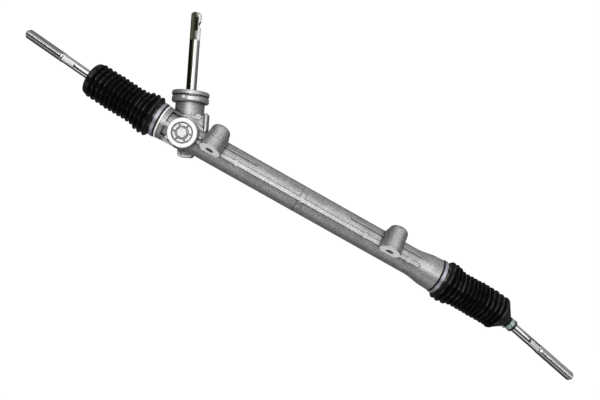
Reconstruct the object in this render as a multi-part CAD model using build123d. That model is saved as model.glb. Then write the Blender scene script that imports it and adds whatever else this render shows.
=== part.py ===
from build123d import *

import math
import os

# Rack-and-pinion steering gear of a small car, in millimetres.
#
# Row frame: the origin lies midway between the two mounting holes, on the plane of the bosses'
# lower faces. +X runs along the rack away from the pinion, +Y runs along the mounting bolts
# towards the steering column, and +Z points off the bench.
#
# Everything is modelled in the rack frame and moved to the row frame when it is written. There X
# is the rack's axis, Y ("up") is the side that the pinion shaft leaves from, and Z ("front") is
# the side that the yoke is screwed in from.

# ---- Layout --------------------------------------------------------------------------------
MOUNT_SPACING = 290.0  # between the two mounting bolts
MOUNT_FORWARD = 26.0  # rack axis to bolt axis
MOUNT_DROP = 13.7  # rack axis to the lower faces of the bosses, along the bolts
YOKE_TILT = 22.0  # degrees that the yoke leans from the row frame's Z
PINION_INSET = 28.5  # pinion's crossing to the left stop
PINION_LEAN = 25.0  # degrees that the pinion leans over from square to the rack
PINION_OFFSET = 16.0  # rack axis to pinion axis

# ---- Travel --------------------------------------------------------------------------------
HALF_TRAVEL = 62.0  # each way from the middle
REST_SHIFT = 18.0  # the rack rests this far to the right of the middle
STOP_GAP = 0.5  # left between the lock washer and the stop at full lock
LEFT_TILT = 5.5  # degrees that the left rod rests up
RIGHT_TILT = -11.65  # degrees that the right rod rests down

# ---- Gear pair -----------------------------------------------------------------------------
MODULE = 2.1  # normal module
TEETH = 7
PRESSURE_ANGLE = 20.0
PROFILE_SHIFT = 0.5  # in modules
PINION_ADDENDUM = 0.876  # in modules, beyond the shifted reference line
ROOT_CLEARANCE = 0.5
BACKLASH = 0.12
PINION_FACE = 28.0

# ---- Rack bar and its joints ---------------------------------------------------------------
BAR_R = 12.5
JOINT_HALF_SPAN = 301.0  # middle of the rack to each ball
STUD_R = 7.0
STUD_LENGTH = 12.5
WASHER_THICKNESS = 2.0
WASHER_OVERLAP = 1.5  # that the lock washer is wider than the housing's bore, which it stops against
SOCKET_R = 17.0
SOCKET_BACK = 20.0  # ball centre to the face against the lock washer
SOCKET_FRONT = 9.0  # ball centre to the rolled lip
BALL_R = 11.5
SEAT_WALL = 2.5
SWING = 16.0  # degrees each way in each of the two planes
ROD_R = 6.5  # shank, a little thinner than the thread's crests
ROD_LENGTH = 168.0  # ball centre to tip
THREAD_R = 7.0
THREAD_LENGTH = 57.0
FLATS_LENGTH = 22.0
FLATS_ACROSS = 11.0
NECK_R = 6.0

# ---- Housing -------------------------------------------------------------------------------
TUBE_R = 20.6
BORE_R = 15.5
SPIGOT_REACH = 22.5  # the stops to the open ends
SPIGOT_R = 21.8
SPIGOT_LIP = 0.7
SPIGOT_LENGTH = 11.7  # the faces that the bellows butt on to the open ends
FLANGE_STEP = 3.2  # flange outside the spigot
FLANGE_RING = 3.0  # machined part of the left flange
LEFT_COLLAR = 6.5  # cast part of the left flange
CASE_R = 24.0  # left end, behind the collar
FLARE_LENGTH = 34.0
FLARE_COLLAR = 9.0  # straight end of the right flare
COUNTERBORE_R = 19.6
RIB_WIDTH = 6.4
RIB_PROUD = 2.0
LEDGE_WIDTH = 3.0
PAD_PLACES = (-104.0, 104.0, 176.0)  # round pads along the front rib
TOWER_WALL = 2.6  # outside the ring nut's thread
TOWER_TOP = 60.0
SHOULDER_TOP = 27.5
SHOULDER_REACH = 30.8  # pinion axis to the outer side of the lug
SHOULDER_FRONT = 10.0  # rack axis to the shoulder's web
SHOULDER_THICKNESS = 14.0
LUG_WIDTH = 6.4
LUG_BASE = 6.0
LUG_TOP = 32.0
LUG_PROUD = 4.0
BRACE_WIDTH = 5.0
BRACE_PROUD = 3.0
PIN_R = 3.9
PIN_PLACE = 17.2  # pinion axis to the pin's axis
YOKE_BOSS_WALL = 5.3  # outside the plug's thread
YOKE_BOSS_TOP = 38.0
MOUNT_HOLE_R = 5.75
MOUNT_LENGTH = 39.5
MOUNT_FACE_R = 16.0
MOUNT_TOP_R = 14.2
LOWER_BOSS_R = 10.8
LOWER_BOSS_END = 31.8
LOWER_BOSS_SHIFT = -1.1  # off the pinion's axis

# ---- Pinion, bearings, seal and cap --------------------------------------------------------
SHAFT_R = 7.5
SHAFT_TOP = 179.0
SERRATION_LENGTH = 40.0
SERRATIONS = 36
BEARING_BASE = 36.0
BEARING_WIDTH = 11.0
BEARING_R = 17.5
RACE_WALL = 2.05  # thinnest part of the races, on both sides of a ball
BALLS = 8
NEEDLE_TRACK_R = 6.0
NEEDLES = 14
NEEDLE_SHELL_R = 8.0
NEEDLE_SHELL_WALL = 0.8
NEEDLE_LENGTH = 10.0
NEEDLE_TOP = -16.5
NEEDLE_END_GAP = 1.2  # from each end of the shell to the needles
NUT_STEP = 1.0  # ring nut's thread outside the bearing
NUT_HEIGHT = 10.5
SEAL_R = 13.0
SEAL_HEIGHT = 7.0
CAP_RIM = 5.9  # dust cap outside the tower
CAP_BASE = 48.0
CAP_TOP = 64.0

# ---- Yoke ----------------------------------------------------------------------------------
YOKE_R = 13.5
YOKE_TOP = 27.0
LINER = 1.0
PLUG_STEP = 1.7  # plug's thread outside the yoke's bore
PLUG_THICKNESS = 8.0
YOKE_LASH = 0.15  # travel that the plug leaves the yoke
SPRING_POCKET_R = 8.0
SPRING_HOLE_R = 4.0
SPRING_DISC = 1.0
SPRING_DISCS = 4

# ---- Bellows and clamps --------------------------------------------------------------------
CUFF_GAP = 0.6  # between the cuff and the flange
CUFF_LENGTH = 9.0
CUFF_WALL = 3.0
CLAMP_WIDTH = 4.4
CLAMP_WALL = 1.0
CLAMP_INSET = 1.4  # from the cuff's edge to the band
SMALL_CLAMP_WIDTH = 6.4
SMALL_CLAMP_WALL = 0.8
FOLD_R = 26.8
VALLEY_R = 23.4
BIG_FOLD_R = 30.0
BIG_VALLEY_R = 26.0
BIG_FOLDS = 3
FOLDS = 14
BELLOWS_WALL = 1.6
LAST_FOLD_PAST = {"left": 55.5, "right": 20.0}  # ball centres to the last folds
GRIP_LENGTH = 11.0  # small end of the bellows, along the rod
GRIP_END = 49.0  # ball centre to the bellows' small end
GRIP_WALL = 1.5
GRIP_LIP = 1.0
GRIP_LIP_LENGTH = 3.2
END_ROLL = 3.5  # roundness of the last fold
END_TUCK = 20.0  # how far the left small end is pulled back inside the last fold

# ---- Fits ----------------------------------------------------------------------------------
RUNNING = 0.05  # radial, in bearings and slides
SWIVEL = 0.15  # radial, between the spherical faces of the ball joints
SEATED = 0.02  # between pieces that are screwed or pressed together
SOFT = 0.2  # between rubber and what it lies on

# ---- Derived places ------------------------------------------------------------------------
ROW = Location((0, MOUNT_DROP, -MOUNT_FORWARD), (YOKE_TILT, 0, 0))
BAR_END = JOINT_HALF_SPAN - SOCKET_BACK - WASHER_THICKNESS
STOP_FACE = BAR_END - HALF_TRAVEL - STOP_GAP
SPIGOT_END = STOP_FACE + SPIGOT_REACH
FLANGE_FACE = SPIGOT_END - SPIGOT_LENGTH
FLANGE_END = FLANGE_FACE - FLANGE_RING - LEFT_COLLAR
FLANGE_R = SPIGOT_R + FLANGE_STEP
WASHER_R = BORE_R + WASHER_OVERLAP
NUT_R = BEARING_R + NUT_STEP
TOWER_R = NUT_R + TOWER_WALL
CAP_R = TOWER_R + CAP_RIM
BALL_RADIUS = (BEARING_R - SHAFT_R) / 2 - RACE_WALL
PLUG_R = YOKE_R + PLUG_STEP
YOKE_BOSS_R = PLUG_R + YOKE_BOSS_WALL
PINION_X = PINION_INSET - STOP_FACE
LEAN = math.radians(PINION_LEAN)
PINION = Plane(
    origin=(PINION_X, 0, -PINION_OFFSET),
    x_dir=(math.cos(LEAN), math.sin(LEAN), 0),
    z_dir=(-math.sin(LEAN), math.cos(LEAN), 0),
)
YOKE = Plane(origin=(PINION_X, 0, 0), x_dir=(1, 0, 0), z_dir=(0, 0, 1))

PITCH = math.pi * MODULE
PITCH_R = TEETH * MODULE / (2 * math.cos(LEAN))
TRANSVERSE_ANGLE = math.atan(math.tan(math.radians(PRESSURE_ANGLE)) / math.cos(LEAN))
BASE_R = PITCH_R * math.cos(TRANSVERSE_ANGLE)
REFERENCE_R = PITCH_R + PROFILE_SHIFT * MODULE  # pinion axis to the rack's reference line
RACK_TIP_R = REFERENCE_R - MODULE  # pinion axis to the rack's tooth tips
PINION_TIP_R = REFERENCE_R + PINION_ADDENDUM * MODULE
PINION_ROOT_R = RACK_TIP_R - ROOT_CLEARANCE
RACK_ROOT_R = PINION_TIP_R + ROOT_CLEARANCE
TIP_PLANE = RACK_TIP_R - PINION_OFFSET  # heights in the rack frame, below the rack axis
ROOT_PLANE = RACK_ROOT_R - PINION_OFFSET
GEAR_CAVITY_R = PINION_TIP_R + 2.0

MESH_HALF = 15.0  # length of rack on each side of the crossing that the pinion can touch
SEAT_R = BALL_R + SEAT_WALL
BESIDE_BOSS = PINION_X + YOKE_BOSS_R - 6  # under the yoke boss's inboard side
SIDES = {"left": -1, "right": 1}
TILT = {"left": LEFT_TILT, "right": RIGHT_TILT}


def turned(*outline):
    """Solid of revolution about Z from (radius, height) corners."""
    return revolve(Plane.XZ * make_face(Polyline(*outline, close=True)), Axis.Z)


def ring(inner, outer, bottom, top):
    """Plain ring about Z."""
    return turned((inner, bottom), (outer, bottom), (outer, top), (inner, top))


def disc(radius, bottom, top):
    """Plain cylinder about Z, between two heights."""
    return Pos(0, 0, (bottom + top) / 2) * Cylinder(radius, top - bottom)


def span_box(low, high):
    """Box between two opposite corners."""
    size = [b - a for a, b in zip(low, high)]
    middle = [(a + b) / 2 for a, b in zip(low, high)]
    return Pos(*middle) * Box(*size)


def along_rack(start, end, radius):
    """Cylinder about the rack's axis between two places on it."""
    return Pos(start, 0, 0) * Rot(0, 90, 0) * disc(radius, 0, end - start)


def ball_x(side):
    """Where the centre of a ball joint rests on the rack's axis."""
    return SIDES[side] * JOINT_HALF_SPAN + REST_SHIFT


def last_fold_x(side):
    """Place along the rack of the bellows' last fold."""
    return ball_x(side) + SIDES[side] * LAST_FOLD_PAST[side]


def joint_plane(side):
    """Ball centre, with Z along the rack's axis, pointing outwards."""
    return Plane(origin=(ball_x(side), 0, 0), x_dir=(0, 0, 1), z_dir=(SIDES[side], 0, 0))


def rod_direction(side):
    """Unit vector of a tie rod at rest, from its ball to its tip."""
    tilt = math.radians(TILT[side])
    return (SIDES[side] * math.cos(tilt), math.sin(tilt), 0)


def rod_plane(side):
    """Ball centre, with Z along the tie rod at rest."""
    return Plane(origin=(ball_x(side), 0, 0), x_dir=(0, 0, 1), z_dir=rod_direction(side))


# ---- Housing -------------------------------------------------------------------------------
def barrel():
    """Outside of the cast tube with its left case, right flare and the bellows' spigots."""
    flare_end = FLANGE_FACE - FLARE_COLLAR
    case_end = PINION_X + MOUNT_FACE_R / 4
    left = Polyline(
        (case_end + CASE_R - TUBE_R, TUBE_R),
        (case_end, CASE_R),
        (-FLANGE_END, CASE_R),
        (-FLANGE_END, FLANGE_R - 0.6),
        (-FLANGE_END - LEFT_COLLAR, FLANGE_R - 0.6),
        (-FLANGE_END - LEFT_COLLAR, FLANGE_R),
        (-FLANGE_FACE + 0.8, FLANGE_R),
        (-FLANGE_FACE, FLANGE_R - 0.8),
        (-FLANGE_FACE, SPIGOT_R),
        (-SPIGOT_END + 2, SPIGOT_R),
        (-SPIGOT_END + 2, SPIGOT_R + SPIGOT_LIP),
        (-SPIGOT_END, SPIGOT_R),
        (-SPIGOT_END, 0),
        (SPIGOT_END, 0),
        (SPIGOT_END, SPIGOT_R),
        (SPIGOT_END - 2, SPIGOT_R + SPIGOT_LIP),
        (SPIGOT_END - 2, SPIGOT_R),
        (FLANGE_FACE, SPIGOT_R),
        (FLANGE_FACE, FLANGE_R - 0.8),
        (FLANGE_FACE - 0.8, FLANGE_R),
        (flare_end, FLANGE_R - 0.4),
    )
    flare = Spline(
        (flare_end, FLANGE_R - 0.4),
        (flare_end - FLARE_LENGTH, TUBE_R),
        tangents=[(-1, 0), (-1, 0)],
    )
    tube = Line((flare_end - FLARE_LENGTH, TUBE_R), (case_end + CASE_R - TUBE_R, TUBE_R))
    return revolve(make_face([left, flare, tube]), Axis.X)


def case_pockets():
    """Two cast pockets between the left collar and the yoke boss, on each side of a rib."""
    web = RIB_WIDTH / 2 - 0.6
    reach = PINION_X - YOKE_BOSS_R / 2
    cut = None
    for low, high in ((web, CASE_R - 4.0), (-CASE_R + 7.0, -web)):
        block = span_box((-FLANGE_END, low, 0), (reach, high, CASE_R + 2))
        block = fillet(block.edges().filter_by(Axis.Z), 2.4)
        cut = block if cut is None else cut + block
    return cut - along_rack(-FLANGE_END - 1, reach + 1, COUNTERBORE_R + 1.6)


def across_pinion(outline, back, front):
    """Plate whose outline is seen across the pinion's axis, between two heights off that axis."""
    return extrude(Plane.XZ.offset(back) * outline, amount=front - back)


def strut(start, end, width):
    """Rectangle of a given width whose middle line joins two points."""
    middle = Line(start, end)
    turn = math.degrees(math.atan2(end[1] - start[1], end[0] - start[0]))
    return Pos(middle @ 0.5) * Rot(0, 0, turn) * Rectangle(middle.length, width)


def lug(place, back, front):
    """Upright lug with a rounded top and a rounded outer edge."""
    outline = Pos(place, (LUG_BASE + LUG_TOP) / 2) * Rectangle(LUG_WIDTH, LUG_TOP - LUG_BASE)
    outline = fillet(outline.vertices().group_by(Axis.Y)[-1], LUG_WIDTH / 2 - 0.4)
    body = across_pinion(outline, back, front)
    outer = body.edges().filter_by(Axis.Z).group_by(Axis.Y)[0].sort_by(Axis.X)[-1]
    return fillet(outer, LUG_WIDTH / 2.4)


def dimpled_pin(back, front):
    """Round cast pin along Z, with a drill mark in its end."""
    return disc(PIN_R, back, front) - Pos(0, 0, front) * Cone(0, PIN_R * 0.4, 2.4)


def shoulder():
    """Cast web behind the yoke boss, which carries the tower, with a brace, a lug and a pin."""
    front = PINION_OFFSET + SHOULDER_FRONT
    back = front - SHOULDER_THICKNESS
    lug_x = SHOULDER_REACH - LUG_WIDTH / 2
    web = Polyline(
        (-TOWER_R + 2, SHOULDER_TOP),
        (lug_x, SHOULDER_TOP),
        (lug_x, LUG_BASE - 2),
        (TOWER_R - 2, -12),
        (-TOWER_R + 2, -12),
        close=True,
    )
    brace = strut((lug_x, LUG_BASE - 1.5), (3, SHOULDER_TOP - 3.5), BRACE_WIDTH)
    pin = dimpled_pin(back, front + BRACE_PROUD)
    body = across_pinion(make_face(web), back, front)
    body += across_pinion(brace, front - 1, front + BRACE_PROUD)
    body += lug(lug_x, back, front + LUG_PROUD)
    return body + Pos(PIN_PLACE, 0, SHOULDER_TOP - 1.4) * Rot(90, 0, 0) * pin


def tongue(width, height, radius):
    """Rectangle standing on the middle of its lower edge, whose lower corners are rounded."""
    outline = Rectangle(width, height, align=(Align.CENTER, Align.MIN))
    return fillet(outline.vertices().group_by(Axis.Y)[0], radius)


def lower_boss():
    """Closed end of the pinion bore, with a shallow relief on its front."""
    front = PINION_OFFSET - 3.5
    rim = 3.5
    outline = tongue(2 * LOWER_BOSS_R, LOWER_BOSS_END + 4, 5.0)
    relief = Pos(0, rim) * tongue(2 * (LOWER_BOSS_R - rim), LOWER_BOSS_END, 2.5)
    body = extrude(Plane.XZ * outline, amount=front) + extrude(Plane.XZ * outline, amount=-LOWER_BOSS_R)
    body -= extrude(Plane.XZ.offset(front - 2.6) * relief, amount=4)
    return Pos(LOWER_BOSS_SHIFT, 0, -LOWER_BOSS_END) * body


def pinion_case():
    """Everything of the casting that stands along the pinion's axis."""
    tower = disc(TOWER_R, -4, TOWER_TOP)
    tower = chamfer(tower.edges().group_by(Axis.Z)[-1], 0.8)
    gear_case = turned(
        (0, -20),
        (LOWER_BOSS_R - 1.2, -20),
        (GEAR_CAVITY_R + 4.5, -PINION_FACE / 2 - 1),
        (GEAR_CAVITY_R + 4.5, 18),
        (TOWER_R, 26),
        (0, 26),
    )
    return PINION.location * (tower + gear_case + shoulder() + lower_boss())


def yoke_boss():
    """Round boss that the yoke slides in, drafted towards its machined face."""
    return YOKE.location * turned(
        (0, 0),
        (YOKE_BOSS_R + 1.0, 0),
        (YOKE_BOSS_R, YOKE_BOSS_TOP - 6),
        (YOKE_BOSS_R, YOKE_BOSS_TOP - 0.8),
        (YOKE_BOSS_R - 0.8, YOKE_BOSS_TOP),
        (0, YOKE_BOSS_TOP),
    )


def mount_boss(place):
    """One tapered mounting boss with its domed top and the web that ties it to the tube."""
    inboard = -math.copysign(1, place)
    dome = ThreePointArc(
        (MOUNT_TOP_R, MOUNT_LENGTH - 7),
        (MOUNT_TOP_R - 1.9, MOUNT_LENGTH - 2.2),
        (MOUNT_TOP_R - 6, MOUNT_LENGTH),
    )
    sides = Polyline(
        (MOUNT_TOP_R - 6, MOUNT_LENGTH),
        (0, MOUNT_LENGTH),
        (0, 0),
        (MOUNT_FACE_R - 0.6, 0),
        (MOUNT_FACE_R, 0.6),
        (MOUNT_FACE_R, 3),
        (MOUNT_TOP_R, MOUNT_LENGTH - 7),
    )
    boss = revolve(Plane.XZ * make_face([dome, sides]), Axis.Z)
    boss = Pos(place, 0, 0) * Rot(-90, 0, 0) * boss
    web = Polyline(
        (0, 7),
        (inboard * (MOUNT_TOP_R + 1.5), 7),
        (inboard * (MOUNT_TOP_R + 1.5), MOUNT_LENGTH - 11),
        (inboard * (MOUNT_TOP_R - 2), MOUNT_LENGTH - 3),
        (0, MOUNT_LENGTH - 3),
        close=True,
    )
    web = extrude(make_face(web), amount=-(MOUNT_FORWARD - BORE_R + 3), dir=(0, 0, 1))
    return ROW.inverse() * (boss + Pos(place, 0, -2) * web)


def mount_hole(place):
    """Through hole for one mounting bolt."""
    hole = Rot(-90, 0, 0) * disc(MOUNT_HOLE_R, -5, MOUNT_LENGTH + 5)
    return ROW.inverse() * Pos(place, 0, 0) * hole


def tube_rib(start, end, angle, width, proud):
    """Straight rib along the tube, turned about the rack's axis from its front."""
    rib = span_box((start, -width / 2, TUBE_R - 3), (end, width / 2, TUBE_R + proud))
    rib = chamfer(rib.faces().sort_by(Axis.Z)[-1].edges(), 0.7)
    return Rot(angle, 0, 0) * rib


def ribs():
    """Front rib with its crossing hoop, and the short ledges beside the mounting bosses."""
    half = MOUNT_SPACING / 2
    flare_start = FLANGE_FACE - FLARE_COLLAR - FLARE_LENGTH
    group = tube_rib(-half, half, 0, RIB_WIDTH, RIB_PROUD)
    group += tube_rib(half, flare_start + 10, 0, RIB_WIDTH, RIB_PROUD)
    group += tube_rib(-FLANGE_END - 1, -half, 0, RIB_WIDTH - 1.2, FLANGE_R - TUBE_R - 1.6)
    ledges = ((-half, -half + 67), (half - 69, half), (half, flare_start + 20))
    for start, end in ledges:
        group += tube_rib(start, end, -37, LEDGE_WIDTH, RIB_PROUD)
    hoop = Pos(0, 0, RIB_PROUD) * along_rack(-RIB_WIDTH / 2, RIB_WIDTH / 2, TUBE_R - 0.05)
    pad = disc(4.0, TUBE_R - 3, TUBE_R + RIB_PROUD + 0.5)
    return group + hoop + [Pos(place, 0, 0) * pad for place in PAD_PLACES]


def case_details():
    """Round pad and flat gusset under the yoke boss, and the post and bar beside it."""
    low = 0.6 - CASE_R
    left = -FLANGE_END - 1
    gusset = Polyline(
        (left, low + 7),
        (left + 21, low + 7),
        (left + 26, low),
        (left + 10, low),
        close=True,
    )
    gusset = Pos(0, 0, 3) * extrude(make_face(gusset), amount=10.5)
    pad = Pos(PINION_X - 18.5, low + 7.6, 0) * disc(3.0, 4, 20)
    post = span_box((BESIDE_BOSS + 5, 4.4, BORE_R + 1), (BESIDE_BOSS + 10.5, 7.6, TUBE_R + 3))
    bar = span_box((BESIDE_BOSS, -2.6, BORE_R + 1), (BESIDE_BOSS + 16, 1.8, TUBE_R + 5))
    return gusset + pad + post + bar


def side_pocket():
    """Shallow pocket in the tube between the yoke boss and the left mounting boss."""
    floor_r = BORE_R + 3
    block = span_box((BESIDE_BOSS, 3.2, floor_r), (BESIDE_BOSS + 14, 14, CASE_R))
    return block - along_rack(BESIDE_BOSS - 1, BESIDE_BOSS + 15, floor_r)


def rack_passage():
    """Everything that is bored along the rack's axis."""
    bore = along_rack(-SPIGOT_END, SPIGOT_END, BORE_R)
    bore += along_rack(-SPIGOT_END - 1, -STOP_FACE, COUNTERBORE_R)
    bore += along_rack(STOP_FACE, SPIGOT_END + 1, COUNTERBORE_R)
    return bore


def pinion_bores():
    """Gear cavity, bearing seats and thread along the pinion's axis."""
    cavity = disc(GEAR_CAVITY_R, -PINION_FACE / 2 - 1.5, BEARING_BASE + 1)
    seat = disc(BEARING_R, BEARING_BASE, TOWER_TOP + 1)
    thread = disc(NUT_R, BEARING_BASE + BEARING_WIDTH, TOWER_TOP + 1)
    needle_seat = disc(NEEDLE_SHELL_R, NEEDLE_TOP - NEEDLE_LENGTH - 1, 0)
    return PINION.location * (cavity + seat + thread + needle_seat)


def yoke_bores():
    """Sliding bore of the yoke and the thread of its plug."""
    slide = disc(YOKE_R + RUNNING, 0, YOKE_BOSS_TOP + 1)
    thread = disc(PLUG_R + SEATED, YOKE_TOP + YOKE_LASH, YOKE_BOSS_TOP + 1)
    return YOKE.location * (slide + thread)


def rack_housing():
    """One-piece aluminium casting."""
    body = barrel() - case_pockets() - side_pocket()
    body += pinion_case()
    body += yoke_boss()
    body += ribs()
    body += case_details()
    for place in (-MOUNT_SPACING / 2, MOUNT_SPACING / 2):
        body += mount_boss(place)
    body -= rack_passage()
    body -= pinion_bores()
    body -= yoke_bores()
    for place in (-MOUNT_SPACING / 2, MOUNT_SPACING / 2):
        body -= mount_hole(place)
    return body


def rack_bush():
    """Plastic bush that guides the plain end of the rack."""
    end = STOP_FACE - 6
    bush = along_rack(end - 20, end, BORE_R - SEATED) - along_rack(end - 21, end + 1, BAR_R + RUNNING)
    slot = span_box((end - 21, -0.8, BAR_R - 1), (end - 5, 0.8, BORE_R + 1))
    for turn in (60, 180, 300):
        bush -= Rot(turn, 0, 0) * slot
    return bush


# ---- Rack ----------------------------------------------------------------------------------
def rack_gap():
    """Section of one tooth space, seen along the teeth, with X along the rack."""
    slope = math.tan(math.radians(PRESSURE_ANGLE))
    reference = REFERENCE_R - PINION_OFFSET
    half = (PITCH + BACKLASH) / 4
    below = TIP_PLANE - 0.5
    return make_face(
        Polyline(
            (-half - slope * (reference - below), below),
            (half + slope * (reference - below), below),
            (half - slope * (ROOT_PLANE - reference), ROOT_PLANE),
            (-half + slope * (ROOT_PLANE - reference), ROOT_PLANE),
            close=True,
        )
    )


def rack_bar():
    """Round bar with straight teeth cut across its back and a tapped hole in each end."""
    left = REST_SHIFT - BAR_END
    right = REST_SHIFT + BAR_END
    bar = along_rack(left, right, BAR_R)
    bar = chamfer(bar.edges().filter_by(GeomType.CIRCLE), 1.0)
    first = math.ceil((REST_SHIFT - HALF_TRAVEL - MESH_HALF) / PITCH)
    last = math.floor((REST_SHIFT + HALF_TRAVEL + MESH_HALF) / PITCH)
    teeth_start = PINION_X + (first - 0.5) * PITCH
    teeth_end = PINION_X + (last + 0.5) * PITCH
    bar -= span_box((teeth_start, -BAR_R, -BAR_R - 1), (teeth_end, BAR_R, TIP_PLANE))
    gap = rack_gap()
    places = [Pos(PINION_X + step * PITCH, 0) * gap for step in range(first, last + 1)]
    bar -= extrude(Plane.XZ * Sketch(children=places), amount=BAR_R + 1, both=True)
    for side in SIDES:
        bore = disc(STUD_R + SEATED, -SOCKET_BACK - WASHER_THICKNESS - STUD_LENGTH - 0.3, -SOCKET_BACK)
        bar -= joint_plane(side).location * bore
    return bar


def lock_washer(side):
    """Washer between the rack's end and the socket, wide enough to meet the housing's stop."""
    bottom = -SOCKET_BACK - WASHER_THICKNESS
    washer = ring(STUD_R + 0.3, WASHER_R, bottom + SEATED, -SOCKET_BACK - SEATED)
    return joint_plane(side).location * washer


def inner_joint_socket(side):
    """Steel cup of an inner ball joint, with its threaded stud and two spanner flats."""
    cup = turned(
        (0, -SOCKET_BACK),
        (SOCKET_R - 4.5, -SOCKET_BACK),
        (SOCKET_R - 4.5, -SEAT_R + 1),
        (SOCKET_R - 1, -SEAT_R + 3.5),
        (SOCKET_R, -SEAT_R + 5),
        (SOCKET_R, 2),
        (SOCKET_R - 3.4, SOCKET_FRONT),
        (0, SOCKET_FRONT),
    )
    stud = disc(STUD_R, -SOCKET_BACK - WASHER_THICKNESS - STUD_LENGTH, -SOCKET_BACK + 1)
    flat = span_box((SOCKET_R - 6.5, -SOCKET_R, -SOCKET_BACK - 1), (SOCKET_R, SOCKET_R, -SEAT_R + 1))
    cup -= flat
    cup -= Rot(0, 0, 180) * flat
    cup -= Sphere(SEAT_R + SWIVEL)
    mouth = rod_reach(SOCKET_FRONT + 1) + 0.6
    cup -= Cone(0, mouth, SOCKET_FRONT + 1, align=(Align.CENTER, Align.CENTER, Align.MIN))
    return joint_plane(side).location * (cup + stud)


def rod_reach(height):
    """Radius that the swinging rod's neck sweeps at a height above the ball centre."""
    swing = math.radians(math.sqrt(2) * SWING + 1.0)
    return height * math.tan(swing) + NECK_R / math.cos(swing)


def ball_seat(side):
    """Plastic seat round the ball, open towards the rod."""
    seat = Sphere(SEAT_R) - Sphere(BALL_R + SWIVEL)
    seat -= disc(SEAT_R + 1, 6.5, SEAT_R + 1)
    seat -= disc(NECK_R + 2.5, 0, SEAT_R)
    return rod_plane(side).location * seat


def tie_rod(side):
    """Inner tie rod: ball, neck, shank with two spanner flats, and threaded end."""
    flats_end = ROD_LENGTH - THREAD_LENGTH
    neck_end = GRIP_END - GRIP_LENGTH - 14
    shank = turned(
        (0, 0),
        (NECK_R, 0),
        (NECK_R, neck_end - 4),
        (ROD_R, neck_end),
        (ROD_R, flats_end),
        (THREAD_R, flats_end),
        (THREAD_R, ROD_LENGTH - 5),
        (THREAD_R - 2.6, ROD_LENGTH),
        (0, ROD_LENGTH),
    )
    for turn in (0, 180):
        flat = span_box(
            (FLATS_ACROSS / 2, -ROD_R, flats_end - FLATS_LENGTH),
            (ROD_R + 1, ROD_R, flats_end),
        )
        shank -= Rot(0, 0, turn) * flat
    return rod_plane(side).location * (shank + Sphere(BALL_R))


# ---- Pinion --------------------------------------------------------------------------------
def involute_angle(radius):
    """Polar angle that an involute turns through between the base circle and a radius."""
    pressure = math.acos(min(1.0, BASE_R / radius))
    return math.tan(pressure) - pressure


def polar(radius, angle):
    """Point in the plane at a radius and an angle in radians."""
    return (radius * math.cos(angle), radius * math.sin(angle))


def pinion_outline(first_tooth):
    """Closed outline of the pinion, with one tooth centred on the given angle."""
    widening = 2 * PROFILE_SHIFT * MODULE * math.tan(math.radians(PRESSURE_ANGLE))
    thickness = PITCH / 2 + widening - BACKLASH / 2
    half_at_pitch = thickness / math.cos(LEAN) / (2 * PITCH_R)
    half_at_base = half_at_pitch + involute_angle(PITCH_R)
    steps = 4
    radii = [BASE_R + (PINION_TIP_R - BASE_R) * step / steps for step in range(steps + 1)]
    edges = []
    for tooth in range(TEETH):
        middle = first_tooth + 2 * math.pi * tooth / TEETH
        flanks = {}
        for hand in (-1, 1):
            flanks[hand] = [polar(r, middle + hand * (half_at_base - involute_angle(r))) for r in radii]
            foot = polar(PINION_ROOT_R, middle + hand * half_at_base)
            edges.append(Spline(foot, *flanks[hand]))
        edges.append(ThreePointArc(flanks[-1][-1], polar(PINION_TIP_R, middle), flanks[1][-1]))
        space = middle + math.pi / TEETH
        edges.append(
            ThreePointArc(
                polar(PINION_ROOT_R, middle + half_at_base),
                polar(PINION_ROOT_R, space),
                polar(PINION_ROOT_R, middle + 2 * math.pi / TEETH - half_at_base),
            )
        )
    return make_face(edges)


def pinion_gear():
    """Helical teeth, with one tooth lying in a rack gap at the crossing."""
    twist = PINION_FACE * math.tan(LEAN) / PITCH_R
    outline = pinion_outline(-math.pi / 2 - twist / 2)
    along = (0, 0, PINION_FACE)
    gear = Solid.extrude_linear_with_rotation(outline.face(), (0, 0, 0), along, math.degrees(twist))
    return Pos(0, 0, -PINION_FACE / 2) * Part(gear.wrapped)


def serrated_end():
    """Serrations for the column's pinch joint, with the pinch bolt's groove."""
    start = SHAFT_TOP - SERRATION_LENGTH
    step = math.pi / SERRATIONS
    corners = [polar(SHAFT_R - 0.5 * (n % 2), n * step) for n in range(2 * SERRATIONS)]
    end = Pos(0, 0, start) * extrude(make_face(Polyline(*corners, close=True)), amount=SERRATION_LENGTH)
    end &= turned(
        (0, start),
        (SHAFT_R, start),
        (SHAFT_R, SHAFT_TOP - 2),
        (SHAFT_R - 2, SHAFT_TOP),
        (0, SHAFT_TOP),
    )
    return end - Pos(SHAFT_R + 3, 0, SHAFT_TOP - 17) * Rot(90, 0, 0) * Cylinder(5.5, 3 * SHAFT_R)


def pinion_shaft():
    """Pinion cut on its shaft, with journals for both bearings and the serrated end."""
    gear_top = PINION_FACE / 2
    groove = BEARING_BASE + BEARING_WIDTH + 0.1
    shaft = turned(
        (0, NEEDLE_TOP - NEEDLE_LENGTH - 0.5),
        (NEEDLE_TRACK_R - 0.8, NEEDLE_TOP - NEEDLE_LENGTH - 0.5),
        (NEEDLE_TRACK_R, NEEDLE_TOP - NEEDLE_LENGTH + 0.3),
        (NEEDLE_TRACK_R, -gear_top),
        (PINION_ROOT_R, -gear_top),
        (PINION_ROOT_R, gear_top + 3),
        (SHAFT_R + 2, gear_top + 6),
        (SHAFT_R + 2, BEARING_BASE),
        (SHAFT_R, BEARING_BASE),
        (SHAFT_R, groove),
        (SHAFT_R - 0.6, groove),
        (SHAFT_R - 0.6, groove + 1.2),
        (SHAFT_R, groove + 1.2),
        (SHAFT_R, SHAFT_TOP - SERRATION_LENGTH),
        (0, SHAFT_TOP - SERRATION_LENGTH),
    )
    return PINION.location * (shaft + pinion_gear() + serrated_end())


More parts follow.
